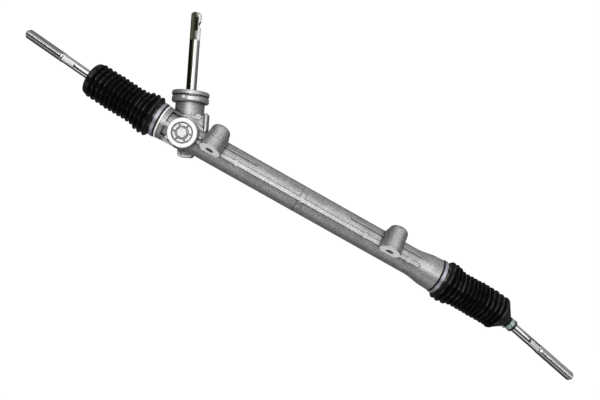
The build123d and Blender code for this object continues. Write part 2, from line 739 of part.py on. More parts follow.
def snap_ring():
    """Open ring that holds the inner race on the shaft."""
    bottom = BEARING_BASE + BEARING_WIDTH + 0.1 + SEATED
    body = ring(SHAFT_R - 0.6 + SEATED, SHAFT_R + 1.6, bottom, bottom + 1.1)
    return PINION.location * (body - span_box((0, -1.5, bottom - 1), (SHAFT_R + 3, 1.5, bottom + 3)))


def ball_track():
    """Torus that the bearing's balls run in."""
    return Pos(0, 0, BEARING_BASE + BEARING_WIDTH / 2) * Torus(track_radius(), BALL_RADIUS + RUNNING)


def track_radius():
    """Pitch radius of the pinion's ball bearing."""
    return (SHAFT_R + BEARING_R) / 2


def bearing_inner_race():
    """Inner race, pressed on the shaft."""
    race = ring(SHAFT_R + SEATED, SHAFT_R + 3.2, BEARING_BASE + SEATED, BEARING_BASE + BEARING_WIDTH)
    return PINION.location * (race - ball_track())


def bearing_outer_race():
    """Outer race, held in the tower by the ring nut."""
    race = ring(BEARING_R - 3.2, BEARING_R - SEATED, BEARING_BASE + SEATED, BEARING_BASE + BEARING_WIDTH)
    return PINION.location * (race - ball_track())


def bearing_ball_places():
    """Centres of the bearing's balls."""
    middle = BEARING_BASE + BEARING_WIDTH / 2
    return [Rot(0, 0, 360 * n / BALLS) * Pos(track_radius(), 0, middle) for n in range(BALLS)]


def bearing_balls():
    """Full set of balls."""
    ball = Sphere(BALL_RADIUS)
    return Compound(children=[PINION.location * place * ball for place in bearing_ball_places()])


def bearing_cage():
    """Ring that keeps the balls apart, with a round pocket for each."""
    middle = BEARING_BASE + BEARING_WIDTH / 2
    cage = ring(track_radius() - 0.9, track_radius() + 0.9, middle - 4.4, middle + 4.4)
    for place in bearing_ball_places():
        cage -= place * Rot(0, 90, 0) * Cylinder(BALL_RADIUS + 2 * RUNNING, 4)
    return PINION.location * cage


def needle_shell():
    """Drawn cup of the lower needle bearing."""
    base = NEEDLE_TOP - NEEDLE_LENGTH
    lip = NEEDLE_TRACK_R + 0.5
    return PINION.location * turned(
        (NEEDLE_SHELL_R - SEATED, base),
        (NEEDLE_SHELL_R - SEATED, NEEDLE_TOP),
        (lip, NEEDLE_TOP),
        (lip, NEEDLE_TOP - NEEDLE_SHELL_WALL),
        (needle_outer(), NEEDLE_TOP - NEEDLE_SHELL_WALL),
        (needle_outer(), base + NEEDLE_SHELL_WALL),
        (lip, base + NEEDLE_SHELL_WALL),
        (lip, base),
    )


def needle_outer():
    """Inner radius of the needle shell, which the needles roll in."""
    return NEEDLE_SHELL_R - SEATED - NEEDLE_SHELL_WALL


def needle_radius():
    """Radius of one needle, which fills the space between journal and shell."""
    return (needle_outer() - NEEDLE_TRACK_R) / 2 - RUNNING


def needle_reach():
    """Pinion axis to the axis of a needle."""
    return NEEDLE_TRACK_R + RUNNING + needle_radius()


def needle_places():
    """Axes of the needles, from their lower ends."""
    start = Pos(needle_reach(), 0, NEEDLE_TOP - NEEDLE_LENGTH + NEEDLE_END_GAP)
    return [Rot(0, 0, 360 * n / NEEDLES) * start for n in range(NEEDLES)]


def needle_rollers():
    """Full set of needles."""
    needle = disc(needle_radius(), 0, NEEDLE_LENGTH - 2 * NEEDLE_END_GAP)
    return Compound(children=[PINION.location * place * needle for place in needle_places()])


def needle_cage():
    """Cage of the needle bearing."""
    base = NEEDLE_TOP - NEEDLE_LENGTH + NEEDLE_SHELL_WALL + RUNNING
    reach = needle_reach()
    cage = ring(reach - 0.25, reach + 0.25, base, NEEDLE_TOP - NEEDLE_SHELL_WALL - RUNNING)
    length = NEEDLE_LENGTH - 2 * NEEDLE_END_GAP
    for place in needle_places():
        cage -= place * disc(needle_radius() + RUNNING, -RUNNING, length + RUNNING)
    return PINION.location * cage


def ring_nut():
    """Threaded ring over the bearing, which carries the seal and has four key slots."""
    base = BEARING_BASE + BEARING_WIDTH + SEATED
    top = base + NUT_HEIGHT
    nut = turned(
        (SHAFT_R + 3.5, base),
        (NUT_R - SEATED, base),
        (NUT_R - SEATED, top),
        (SEAL_R + SEATED, top),
        (SEAL_R + SEATED, top - SEAL_HEIGHT - SEATED),
        (SHAFT_R + 3.5, top - SEAL_HEIGHT - SEATED),
    )
    for turn in range(0, 360, 90):
        nut -= Rot(0, 0, turn) * span_box((SEAL_R + 1.5, -2, top - 2), (NUT_R + 1, 2, top + 1))
    return PINION.location * nut


def pinion_seal():
    """Rubber lip seal round the shaft."""
    top = BEARING_BASE + BEARING_WIDTH + NUT_HEIGHT
    base = top - SEAL_HEIGHT + SEATED
    return PINION.location * turned(
        (SEAL_R, base),
        (SEAL_R, top),
        (SHAFT_R + RUNNING, top),
        (SHAFT_R + RUNNING, top - 1),
        (SEAL_R - 2, top - 2.4),
        (SEAL_R - 2, base),
    )


def pinion_cap():
    """Ribbed dust cap over the top of the tower, with its latch tab."""
    inner = TOWER_R + SEATED
    bead = CAP_BASE + 8.4
    cap = turned(
        (inner, CAP_BASE),
        (CAP_R - 1.4, CAP_BASE),
        (CAP_R - 0.2, CAP_BASE + 1.6),
        (CAP_R - 0.2, bead - 1.6),
        (CAP_R - 1.4, bead),
        (CAP_R - 2.6, bead),
        (CAP_R - 2.6, bead + 2),
        (CAP_R, bead + 2),
        (CAP_R, CAP_TOP - 1.4),
        (CAP_R - 1.4, CAP_TOP),
        (CAP_R - 5, CAP_TOP),
        (CAP_R - 7, CAP_TOP - 1.5),
        (SHAFT_R + 2.5, CAP_TOP - 1.5),
        (SHAFT_R + 1, CAP_TOP - 0.5),
        (SHAFT_R + 1, TOWER_TOP + SEATED),
        (inner, TOWER_TOP + SEATED),
    )
    tab = span_box((-7.5, -CAP_R - 0.7, CAP_BASE + 3), (-3.0, -CAP_R + 2.2, CAP_BASE + 7))
    return PINION.location * (cap + tab)


# ---- Yoke ----------------------------------------------------------------------------------
def rack_trough(clearance):
    """Cylinder about the rack, expressed at the yoke."""
    return Rot(0, 90, 0) * Cylinder(BAR_R + clearance, 4 * YOKE_R)


def yoke():
    """Aluminium plunger that presses on the rack's round back."""
    body = disc(YOKE_R, BAR_R / 2, YOKE_TOP) - rack_trough(RUNNING + LINER)
    body = body.solids().sort_by(Axis.Z)[-1]
    pocket = disc(SPRING_POCKET_R, spring_base(), YOKE_TOP + 1)
    groove = ring(YOKE_R - 1.9, YOKE_R + 1, YOKE_TOP - 6, YOKE_TOP - 3.9)
    return YOKE.location * (body - pocket - groove)


def spring_base():
    """Height of the floor of the yoke's spring pocket."""
    return BAR_R + LINER + RUNNING + 4.4


def yoke_liner():
    """Low-friction shell between yoke and rack."""
    shell = disc(YOKE_R - 0.4, BAR_R / 2 + 0.6, YOKE_TOP) & rack_trough(RUNNING + LINER - SEATED)
    shell -= rack_trough(RUNNING)
    return YOKE.location * shell.solids().sort_by(Axis.Z)[-1]


def yoke_o_ring():
    """Rubber ring that damps the yoke in its bore."""
    middle = YOKE_TOP - 4.95
    inner, outer = YOKE_R - 1.88, YOKE_R
    return YOKE.location * turned(
        (inner, middle - 0.4),
        (inner + 0.5, middle - 0.9),
        (outer - 0.5, middle - 0.9),
        (outer, middle - 0.4),
        (outer, middle + 0.4),
        (outer - 0.5, middle + 0.9),
        (inner + 0.5, middle + 0.9),
        (inner, middle + 0.4),
    )


def yoke_spring():
    """Stack of coned disc springs between yoke and plug."""
    bottom = spring_base() + YOKE_LASH
    top = YOKE_TOP + YOKE_LASH
    rise = (top - bottom) / SPRING_DISCS
    outer = SPRING_POCKET_R - 0.4
    stack = None
    for n in range(SPRING_DISCS):
        low = bottom + n * rise
        wide, narrow = (outer, SPRING_HOLE_R) if n % 2 == 0 else (SPRING_HOLE_R, outer)
        cone = turned(
            (wide, low),
            (wide, low + SPRING_DISC),
            (narrow, low + rise),
            (narrow, low + rise - SPRING_DISC),
        )
        stack = cone if stack is None else stack + cone
    return YOKE.location * stack


def yoke_plug():
    """Threaded adjusting plug with a castellated ring and a raised hexagon."""
    base = YOKE_TOP + YOKE_LASH + RUNNING
    top = base + PLUG_THICKNESS
    plug = disc(PLUG_R, base, top)
    plug += ring(9.6, 13.0, top, top + 2.0)
    for turn in range(0, 360, 60):
        plug -= Rot(0, 0, turn + 15) * span_box((9, -1.4, top - 0.8), (13.6, 1.4, top + 3))
    hexagon = Pos(0, 0, top) * extrude(RegularPolygon(6.5, 6, major_radius=False), amount=4.0)
    hub = disc(7.6, top, top + 1.2) + chamfer(hexagon.faces().sort_by(Axis.Z)[-1].edges(), 0.6)
    return YOKE.location * (plug + hub)


# ---- Bellows and clamps --------------------------------------------------------------------
def last_fold_height(side):
    """Height of the rod's middle line at the last fold."""
    return (last_fold_x(side) - ball_x(side)) * math.tan(math.radians(TILT[side])) * SIDES[side]


def cuff_end():
    """Middle of the housing to the end of each cuff."""
    return FLANGE_FACE + CUFF_GAP + CUFF_LENGTH


def fold_plane(side):
    """End of the cuff on the rack's axis, with Z towards the rod at the last fold."""
    start = SIDES[side] * cuff_end()
    reach = (last_fold_x(side) - start, last_fold_height(side), 0)
    return Plane(origin=(start, 0, 0), x_dir=(0, 0, 1), z_dir=reach)


def fold_length(side):
    """Distance from the end of the cuff to the last fold."""
    return math.hypot(last_fold_x(side) - SIDES[side] * cuff_end(), last_fold_height(side))


def folds(side):
    """Outside of the folds, solid, from inside the cuff to past the last fold."""
    length = fold_length(side)
    pitch = length / (FOLDS - 0.5)
    outline = [(0, -2), (SPIGOT_R + CUFF_WALL / 2, -2), (BIG_VALLEY_R, 0)]
    for fold in range(FOLDS):
        peak = (fold + 0.5) * pitch
        outline.append((BIG_FOLD_R if fold < BIG_FOLDS else FOLD_R, peak))
        if fold < FOLDS - 1:
            outline.append((BIG_VALLEY_R if fold + 1 < BIG_FOLDS else VALLEY_R, peak + pitch / 2))
    outline += [(FOLD_R - END_ROLL, length + END_ROLL), (0, length + END_ROLL)]
    return fold_plane(side).location * turned(*outline)


def along_housing(side, piece):
    """Places a piece on the rack's axis, with Z pointing out of the housing's end."""
    return Plane(origin=(0, 0, 0), x_dir=(0, 0, -1), z_dir=(SIDES[side], 0, 0)).location * piece


def tucked_end(side):
    """Small end pulled back inside the last fold, as (added, removed) about the rod's axis."""
    floor = GRIP_END - GRIP_LENGTH - 2
    mouth = fold_length(side) + cuff_end() - abs(ball_x(side)) + 2 * END_ROLL
    tuck = turned((0, floor), (grip_radius() + 4, floor), (FOLD_R - 2 * END_ROLL, mouth), (0, mouth))
    return disc(grip_radius(), floor - 3, GRIP_END), tuck


def coned_end(side):
    """Cone from the last fold down to the small end, as (added, removed) about the rod's axis."""
    wide = FOLD_R - END_ROLL - 2
    base = abs(last_fold_x(side) - ball_x(side)) + END_ROLL - 1
    neck = GRIP_END - GRIP_LENGTH
    cone = turned((0, base), (wide, base), (grip_radius(), neck), (grip_radius(), GRIP_END), (0, GRIP_END))
    hollow = turned((0, base - 3), (wide - 2, base - 3), (ROD_R + 1, neck - 2), (0, neck - 2))
    return cone, hollow


def grip_radius():
    """Outside of the bellows' small end."""
    return ROD_R + SOFT + GRIP_WALL


def bellows(side):
    """Rubber bellows between the housing and a tie rod."""
    rod = rod_plane(side).location
    start = FLANGE_FACE + CUFF_GAP
    body = along_housing(side, disc(SPIGOT_R + SOFT + CUFF_WALL, start, cuff_end())) + folds(side)
    inside = fold_length(side) - (END_TUCK if side == "left" else END_ROLL)
    body -= fold_plane(side).location * disc(VALLEY_R - BELLOWS_WALL, 0, inside)
    body -= along_housing(side, disc(SPIGOT_R + SPIGOT_LIP + SOFT, start - 1, SPIGOT_END + 1))
    added, removed = tucked_end(side) if side == "left" else coned_end(side)
    if side == "left":
        body = body - rod * removed + rod * added
    else:
        body = body + rod * added - rod * removed
    body += rod * disc(grip_radius() + GRIP_LIP, GRIP_END - GRIP_LIP_LENGTH, GRIP_END)
    return body - rod * disc(ROD_R + SOFT, 0, GRIP_END + 5)


def large_clamp(side):
    """Steel band round the bellows' cuff, with its crimped ear on the back."""
    inner = SPIGOT_R + SOFT + CUFF_WALL + RUNNING
    start = FLANGE_FACE + CUFF_GAP + CLAMP_INSET
    band = ring(inner, inner + CLAMP_WALL, start, start + CLAMP_WIDTH)
    ear = span_box((inner - 1, -4, start), (inner + 4.5, 4, start + CLAMP_WIDTH))
    ear -= disc(inner, start - 1, start + CLAMP_WIDTH + 1)
    return along_housing(side, band + ear)


def small_clamp(side):
    """Sprung band round the bellows' small end, with one bent tail."""
    inner = grip_radius() + SOFT
    end = GRIP_END - GRIP_LIP_LENGTH - SEATED
    start = end - SMALL_CLAMP_WIDTH
    post = span_box((inner, -1.5, start), (inner + 2.6, 1.5, start + 1.0))
    tail = span_box((inner + 1.8, -1.5, start - 2.6), (inner + 2.6, 1.5, start + 1.0))
    band = ring(inner, inner + SMALL_CLAMP_WALL, start, end)
    return rod_plane(side).location * (band + Rot(0, 0, SIDES[side] * 90) * (post + tail))


# ---- Writing -------------------------------------------------------------------------------
def all_pieces():
    """Every node of the steering gear, in the rack frame."""
    pieces = {
        "rack_housing": rack_housing(),
        "rack_bush": rack_bush(),
        "rack_bar": rack_bar(),
        "pinion_shaft": pinion_shaft(),
        "pinion_snap_ring": snap_ring(),
        "pinion_bearing_inner_race": bearing_inner_race(),
        "pinion_bearing_outer_race": bearing_outer_race(),
        "pinion_bearing_balls": bearing_balls(),
        "pinion_bearing_cage": bearing_cage(),
        "needle_bearing_shell": needle_shell(),
        "needle_bearing_rollers": needle_rollers(),
        "needle_bearing_cage": needle_cage(),
        "pinion_ring_nut": ring_nut(),
        "pinion_seal": pinion_seal(),
        "pinion_cap": pinion_cap(),
        "yoke": yoke(),
        "yoke_liner": yoke_liner(),
        "yoke_o_ring": yoke_o_ring(),
        "yoke_spring": yoke_spring(),
        "yoke_plug": yoke_plug(),
    }
    for side in SIDES:
        pieces[f"inner_joint_socket_{side}"] = inner_joint_socket(side)
        pieces[f"lock_washer_{side}"] = lock_washer(side)
        pieces[f"ball_seat_{side}"] = ball_seat(side)
        pieces[f"tie_rod_{side}"] = tie_rod(side)
        pieces[f"bellows_{side}"] = bellows(side)
        pieces[f"large_clamp_{side}"] = large_clamp(side)
        pieces[f"small_clamp_{side}"] = small_clamp(side)
    return pieces


os.makedirs("parts", exist_ok=True)
for name, piece in all_pieces().items():
    export_step(ROW * piece, f"parts/{name}.step")
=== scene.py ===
"""Looks of a rack-and-pinion steering gear.

The tie rods and the bellows get meshes of their own, which take the place of their CAD pieces. Every
other CAD piece is shown as it is, with a finished material.

The row frame is the part's own. The rack's frame has X along the rack, Y (up) on the side of the
pinion shaft and Z (front) on the yoke's side, and its origin is on the rack's axis.
"""

import math

import bpy
from mathutils import Matrix, Vector


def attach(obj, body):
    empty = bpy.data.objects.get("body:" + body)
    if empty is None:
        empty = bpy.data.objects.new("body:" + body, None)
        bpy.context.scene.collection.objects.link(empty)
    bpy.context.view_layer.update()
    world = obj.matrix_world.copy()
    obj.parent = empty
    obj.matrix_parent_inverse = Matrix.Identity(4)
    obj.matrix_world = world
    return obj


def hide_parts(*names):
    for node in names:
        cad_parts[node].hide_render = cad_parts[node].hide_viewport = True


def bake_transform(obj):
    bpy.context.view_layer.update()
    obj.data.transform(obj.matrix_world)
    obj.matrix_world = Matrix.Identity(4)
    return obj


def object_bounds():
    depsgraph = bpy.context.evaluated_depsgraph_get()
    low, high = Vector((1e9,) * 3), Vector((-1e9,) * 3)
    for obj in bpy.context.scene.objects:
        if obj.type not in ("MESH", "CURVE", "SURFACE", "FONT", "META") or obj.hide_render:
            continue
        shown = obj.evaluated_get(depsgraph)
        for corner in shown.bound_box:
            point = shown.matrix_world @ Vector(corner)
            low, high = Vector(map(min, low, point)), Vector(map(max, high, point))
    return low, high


MM = 0.001
SIDES = {"left": -1, "right": 1}

# ---- Sizes that the CAD model has too, in millimetres and degrees ---------------------------
MOUNT_DROP = 13.7  # rack's axis to the mounting faces, along the bolts
MOUNT_FORWARD = 26.0  # rack's axis to the bolts' axis
MOUNT_SPACING = 290.0
MOUNT_FACE_R = 16.0
YOKE_TILT = 22.0
YOKE_BOSS_R = 20.5
YOKE_BOSS_TOP = 38.0
PINION_X = -188.0
PINION_LEAN = 25.0
PINION_OFFSET = 16.0  # rack's axis to the pinion's axis
SHAFT_TOP = 179.0
FLANGE_FACE = 227.3
FLANGE_RING = 3.0  # machined part of the left flange
BALL_X = {"left": -283.0, "right": 319.0}
BALL_R = 11.5
TILT = {"left": 5.5, "right": -11.65}  # of the tie rods at rest
NECK_R = 6.0
NECK_END = 24.0
NECK_FLARE = 4.0  # end of the neck, where it widens to the shank
ROD_R = 6.5
ROD_LENGTH = 168.0
THREAD_R = 7.0
CUFF_START = 227.9
CUFF_END = 236.9
CUFF_R = 25.0
FOLDS = 14
BIG_FOLDS = 3  # next to the cuff
GRIP_START = 38.0  # ball's centre to the bellows' small end
GRIP_R = 8.2
SOFT = 0.2  # between rubber and what it lies on

# ---- Tie rods: detail that only the looks have ----------------------------------------------
THREAD_START = {"left": 107.0, "right": 100.5}  # from the ball's centre; the flats end there
THREAD_PITCH = 1.5
THREAD_DEPTH = 0.6
THREAD_CREST = 0.3  # share of the pitch that stays at the crest
THREAD_FLANK = 0.55  # share of the pitch that the two flanks take up
THREAD_FADE = 2  # pitches in which the thread reaches its depth
THREAD_STEPS = 7  # rings for each pitch
FLATS_LENGTH = 18.0
FLATS_ACROSS = 11.6
CUTTER_R = 9.0  # rounds the ends of the spanner flats
RUN_OUT = 8.0  # length before the flats that gets rings for the cutter's run-out
CHAMFER = 2.6
TIP_GAP = 0.1  # least distance from the thread's last ring to the tip
TIP_EDGE = 0.5  # keeps the shading of the tip's face off its chamfer
TIP_HOLE_R = 0.01  # too small to see
BALL_STEPS = 16
ROD_POINTS = 64  # round each ring
ROD_SHARP = 32.0  # degrees, above which an edge is shaded sharp

# ---- Bellows: detail that only the looks have -----------------------------------------------
CUFF_MOUTH_R = 22.4
CUFF_ROUND = 0.7  # of its outer edge
CUFF_FILLET = (1.2, 0.3)  # length and rise of the cuff's end, where the folds start
FIRST_FOLD = 241.4
LAST_FOLD = {"left": 334.0, "right": 334.8}
FOLD_R = {"left": 26.5, "right": 27.2}
BIG_FOLD_R = (30.9, 31.2, 30.0)  # of the folds next to the cuff
FOLD_DEPTH = 6.5
BIG_FOLD_EXTRA = 0.4  # that the big folds are deeper
FOLD_SHAPE = 0.95  # power of the cosine between two crests
RISE_SHAPE = 1.3  # power of the sine up to the first crest
DRIFT = 1.1  # that the crests wander along the rack
DRIFT_JITTER = 0.35
JITTER_RATE = 11.0
RADIUS_DRIFT = 0.25  # that their radii wander
RADIUS_DRIFT_RATE = 0.9
RADIUS_JITTER = 0.2
RADIUS_JITTER_RATE = 2.3
DRIFT_PHASE = {"left": 1.0, "right": 4.0}  # so that the two sides' folds are uneven in different ways
RADIUS_PHASE = {"left": 0.0, "right": 2.0}
RISE_STEPS = 7  # rings from the cuff to the first crest
FOLD_STEPS = 12
RING_POINTS = 96
RUBBER_SHARP = 70.0  # degrees, above which an edge is shaded sharp
LINE_STEP = 0.5  # that gives the middle line's direction
LEFT_RISE = 5.2  # that the left bellows bends up towards its tie rod
LEFT_RISE_END = 341.0  # where it has risen that far
LEFT_RISE_SHAPE = 1.35  # power of its distance
RIGHT_BEND_PAST = 9.0  # right ball's centre to where its bellows turns down
RIGHT_BEND_SOFT = 6.0  # length that the turn is rounded over
SAG = 1.8  # that the right bellows hangs off the rack's line
SAG_LENGTH = 30.0
CONE_SHOULDER = ((1.2, 0.25), (2.4, 0.9), (3.4, 1.9), (4.2, 3.1))  # past the last crest, and inwards
CONE_STEPS = 14
SHOULDER_END = 339.5  # where the left bellows rolls inwards
SHOULDER_STEPS = 9
SHOULDER_DROP = 2.2  # last crest to the roll
SHOULDER_DIP = 2.6
DIP_SHARE = 0.625  # of the shoulder's length, which its one dip takes up
ROLL_R = 2.6  # of the shoulder's rolled end
ROLL_STEPS = 8
TUCK_STEPS = 10
GRIP_END = 49.8
GRIP_LIP = 1.2
GRIP_LIP_LENGTH = 3.9
LIP_ROUND = 0.5  # length over which its edges turn
GRIP_DEPTH = 3.0  # how far the skin turns back inside the grip
# Places along the rack that bound each length of the bellows; only the far ends of the first two are
# used, to cut the lengths apart
FOLD_BLEND = {"left": (-235.0, -300.0), "right": (235.0, 328.0)}
SWING_BLEND = {"left": (-300.0, -321.0), "right": (328.0, 344.0)}
TILT_BLEND = {"left": (-321.0, -342.0), "right": (344.0, 361.0)}

# ---- Surfaces -------------------------------------------------------------------------------
MID_NOISE = (0.3, 0.7)  # span in which most of a noise's values lie
STREAK_SCALE = (1.6, 1.6, 0.03)  # drawn steel's grain, long in Z
BLOTCH_SCALE = (0.09, 0.09, 0.035)
CORNER_SAMPLES = 8
CORNER_OPEN = 0.35  # openness at which the painted shade in a corner is at its darkest
EDGE_OPEN = (0.55, 0.9)  # openness inside an edge that shows wear and a painted highlight, and inside a flat face
FACING_FRONT = (0.975, 0.995)  # cosines between which a face starts to get a painted highlight
YOKE_FACE_HALF = 1.9  # half the depth that counts as the yoke boss's machined face
YOKE_FACE_PAST = 1.0  # that it reaches past the boss
MOUNT_FACE_HALF = 0.35  # half the depth that counts as a mounting boss's machined face
FACE_SLACK = 0.1  # that the masks of the round faces reach past them
PAINTED_SHADE_GREY = 0.02  # grey of the painted shade in the deepest crevices
MACHINED_GREY = 0.88
# Grey of the painted highlight on front faces and edges, and of the wear on edges
HIGHLIGHT_AND_WEAR_GREY = 0.56
FLATS_GREY = 0.75
GREASE_TOP = (SHAFT_TOP - 17, 10.0)  # middle and half length of the grease over the serrations
SHADED_SIDE = (0.9, 1.7)  # pinion's X at which the painted shade down its side thins out
GREASE_FRONT = (4.8, 5.8)  # the same over the serrations
GREASE_AND_SHADE_RAG = 1.6  # that the edge of the grease and of the painted shade wanders
# Dark and pale tones of the grease, and of the painted shade down the shaft's side
GREASE_AND_SHADE_DARK = (0.025, 0.025, 0.022, 1)
GREASE_AND_SHADE_PALE = (0.075, 0.08, 0.045, 1)
ACETAL_DARK = (0.72, 0.69, 0.60, 1)
ACETAL_PALE = (0.80, 0.78, 0.70, 1)
BAND_TINT = (0.42, 0.42, 0.48, 1)  # faintly violet
SPRING_BAND_TINT = (0.40, 0.50, 0.48, 1)  # faintly green

# ---- Finishes: grey and roughness -----------------------------------------------------------
YOKE_ALLOY = (0.62, 0.38)
CAP_ALLOY = (0.46, 0.40)
BAR_STEEL = (0.6, 0.2)
ROD_STEEL = (0.58, 0.13)
SOCKET_STEEL = (0.2, 0.38)
SPRING_STEEL = (0.22, 0.3)
BEARING_STEEL = (0.6, 0.22)
NUT_STEEL = (0.25, 0.35)
SEAL_RUBBER = (0.02, 0.5)
BELLOWS_RUBBER = (0.003, 0.18)

# ---- Camera and studio, in metres and degrees -----------------------------------------------
LENS = 33.84  # in millimetres
SENSOR = 36.0  # in millimetres
DISTANCE = 0.818
AIM_DROP = 1.2  # millimetres from the rack's axis down to the point that the camera looks at
YAW = 3.0  # that the camera stands towards the pinion's end
ROLL = 29.35  # that the rack runs down to the right
STRIP_DISTANCE = 1.6
STRIP_LENGTH = 3.4
ROOM_GREY = 0.08
BACKDROP_GREY = 0.92
FLOOR_HALF = 6.0
FLOOR_GAP = 0.004  # under the gear

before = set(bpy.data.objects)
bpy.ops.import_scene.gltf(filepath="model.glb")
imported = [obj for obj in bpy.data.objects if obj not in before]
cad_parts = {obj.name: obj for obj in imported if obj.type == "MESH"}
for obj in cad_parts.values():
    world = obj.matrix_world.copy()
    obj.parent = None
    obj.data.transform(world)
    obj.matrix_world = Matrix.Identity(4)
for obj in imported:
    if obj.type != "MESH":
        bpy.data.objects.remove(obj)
cad_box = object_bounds()

RACK_PLACE = Matrix.Translation((0, MOUNT_DROP * MM, -MOUNT_FORWARD * MM))
RACK = RACK_PLACE @ Matrix.Rotation(math.radians(YOKE_TILT), 4, "X")  # rack's frame in the row frame


def rack_point(x, up, front):
    """Place in the row frame, in metres, of a point in the rack's frame in millimetres."""
    return RACK @ Vector((x * MM, up * MM, front * MM))


def in_scene(name, data, matrix=Matrix.Identity(4)):
    """Object of a mesh, a light or a camera, at its place in the scene."""
    made = bpy.data.objects.new(name, data)
    bpy.context.scene.collection.objects.link(made)
    made.matrix_world = matrix
    return made


def rotation(x_dir, y_dir, z_dir):
    """Rotation matrix from the directions of its three axes."""
    return Matrix((x_dir, y_dir, z_dir)).transposed().to_4x4()


# ---- Node trees -----------------------------------------------------------------------------
def feed(tree, socket, value):
    """Links a socket to another one, or sets its value."""
    if isinstance(value, bpy.types.NodeSocket):
        tree.links.new(value, socket)
    else:
        socket.default_value = value


def add(tree, kind, inputs=None, **settings):
    """One shader node, with its settings, and its inputs linked or set."""
    made = tree.nodes.new(kind)
    for name, value in settings.items():
        setattr(made, name, value)
    for name, value in (inputs or {}).items():
        feed(tree, made.inputs[name], value)
    return made


def new_material(name, **constants):
    """Material with a Principled shader, whose constants are set on its own sockets."""
    material = bpy.data.materials.new(name)
    material.use_nodes = True
    tree = material.node_tree
    tree.nodes.clear()
    shader = add(tree, "ShaderNodeBsdfPrincipled", constants)
    add(tree, "ShaderNodeOutputMaterial", {"Surface": shader.outputs["BSDF"]})
    return material, tree, shader


def math_node(tree, operation, *values):
    """Result of a Math node."""
    return add(tree, "ShaderNodeMath", dict(enumerate(values)), operation=operation).outputs[0]


def vector_node(tree, operation, *vectors):
    """Node of vector arithmetic."""
    return add(tree, "ShaderNodeVectorMath", dict(enumerate(vectors)), operation=operation)


def remap(tree, value, span, low, high):
    """Low to high as a value crosses a span, and held at its ends."""
    limits = {"From Min": span[0], "From Max": span[1], "To Min": low, "To Max": high}
    return add(tree, "ShaderNodeMapRange", {"Value": value, **limits}).outputs["Result"]


def mix_numbers(tree, factor, first, second):
    """Number between two numbers."""
    return add(tree, "ShaderNodeMix", {0: factor, 2: first, 3: second}).outputs[0]


def mix_colours(tree, factor, first, second):
    """Colour between two colours."""
    return add(tree, "ShaderNodeMix", {0: factor, 6: first, 7: second}, data_type="RGBA").outputs[2]


def toned(tree, value, span, first, second):
    """Colour that goes from the first to the second as a value crosses a span."""
    return mix_colours(tree, remap(tree, value, span, 0.0, 1.0), first, second)


def grey(value, warmth=0.0):
    """Grey with a slight tint."""
    return (value * (1 + warmth), value, value * (1 - warmth), 1.0)


def frame_coordinates(tree, matrix):
    """Millimetre coordinates in a frame given by its matrix in the row frame, in metres."""
    inverse = matrix.inverted()
    scale = 1 / MM
    mapping = {
        "Vector": add(tree, "ShaderNodeTexCoord").outputs["Object"],
        "Location": inverse.translation * scale,
        "Rotation": inverse.to_euler("XYZ"),
        "Scale": (scale, scale, scale),
    }
    return add(tree, "ShaderNodeMapping", mapping, vector_type="POINT").outputs["Vector"]


def noise(tree, vector, scale, detail=2.0, roughness=0.5):
    """Factor of a noise texture, whose scale is in features for each millimetre."""
    inputs = {"Vector": vector, "Scale": scale, "Detail": detail, "Roughness": roughness}
    return add(tree, "ShaderNodeTexNoise", inputs).outputs["Fac"]


def stretched_noise(tree, vector, factors, detail):
    """Factor of a noise texture with a scale of its own in each direction."""
    scaled = vector_node(tree, "MULTIPLY", vector, factors).outputs["Vector"]
    return noise(tree, scaled, 1.0, detail, roughness=0.6)


def bump(tree, shader, height, depth):
    """Bump from a height in the range 0 to 1, with its depth in millimetres."""
    made = add(tree, "ShaderNodeBump", {"Height": height, "Distance": depth * MM})
    tree.links.new(made.outputs["Normal"], shader.inputs["Normal"])


def openness(tree, distance, inside=False):
    """How open the space is within a distance in millimetres, outside the surface or inside it."""
    settings = {"samples": CORNER_SAMPLES, "inside": inside}
    return add(tree, "ShaderNodeAmbientOcclusion", {"Distance": distance * MM}, **settings).outputs["AO"]


def painted_corner_shade(tree, distance, floor, full=0.95):
    """Factor of painted shade, which falls to a floor in tight corners."""
    return remap(tree, openness(tree, distance), (CORNER_OPEN, full), floor, 1.0)


def edge_wear_and_highlight(tree, distance):
    """1 on outer edges, which show wear and get a painted highlight, and 0 away from them."""
    return remap(tree, openness(tree, distance, inside=True), EDGE_OPEN, 1.0, 0.0)


def near(tree, value, middle, half, soft=0.15):
    """1 within half of a middle value, falling to 0 just outside."""
    away = math_node(tree, "ABSOLUTE", math_node(tree, "SUBTRACT", value, middle))
    return remap(tree, away, (half - soft, half + soft), 1.0, 0.0)


# ---- Materials ------------------------------------------------------------------------------
def machined_mask(tree, rack, row):
    """1 on the housing's machined faces: yoke boss, mounting bosses and left flange."""
    x, _, front = add(tree, "ShaderNodeSeparateXYZ", {0: rack}).outputs
    _, row_y, row_z = add(tree, "ShaderNodeSeparateXYZ", {0: row}).outputs
    boss_side = near(tree, x, PINION_X, YOKE_BOSS_R + YOKE_FACE_PAST)
    boss_face = near(tree, front, YOKE_BOSS_TOP + YOKE_FACE_PAST, YOKE_FACE_HALF)
    yoke_face = math_node(tree, "MULTIPLY", boss_side, boss_face)
    from_bolt_x = math_node(tree, "SUBTRACT", math_node(tree, "ABSOLUTE", x), MOUNT_SPACING / 2)
    off_axis = add(tree, "ShaderNodeCombineXYZ", {0: from_bolt_x, 1: row_z}).outputs[0]
    from_bolt = vector_node(tree, "LENGTH", off_axis).outputs["Value"]
    edge = MOUNT_FACE_R + FACE_SLACK
    in_face = remap(tree, from_bolt, (edge, edge + 2 * FACE_SLACK), 1.0, 0.0)
    mount_face = math_node(tree, "MULTIPLY", in_face, near(tree, row_y, 0, MOUNT_FACE_HALF, soft=0.1))
    flange = near(tree, x, -FLANGE_FACE, FLANGE_RING + FACE_SLACK)
    mask = math_node(tree, "MAXIMUM", yoke_face, mount_face)
    return math_node(tree, "MAXIMUM", mask, flange)


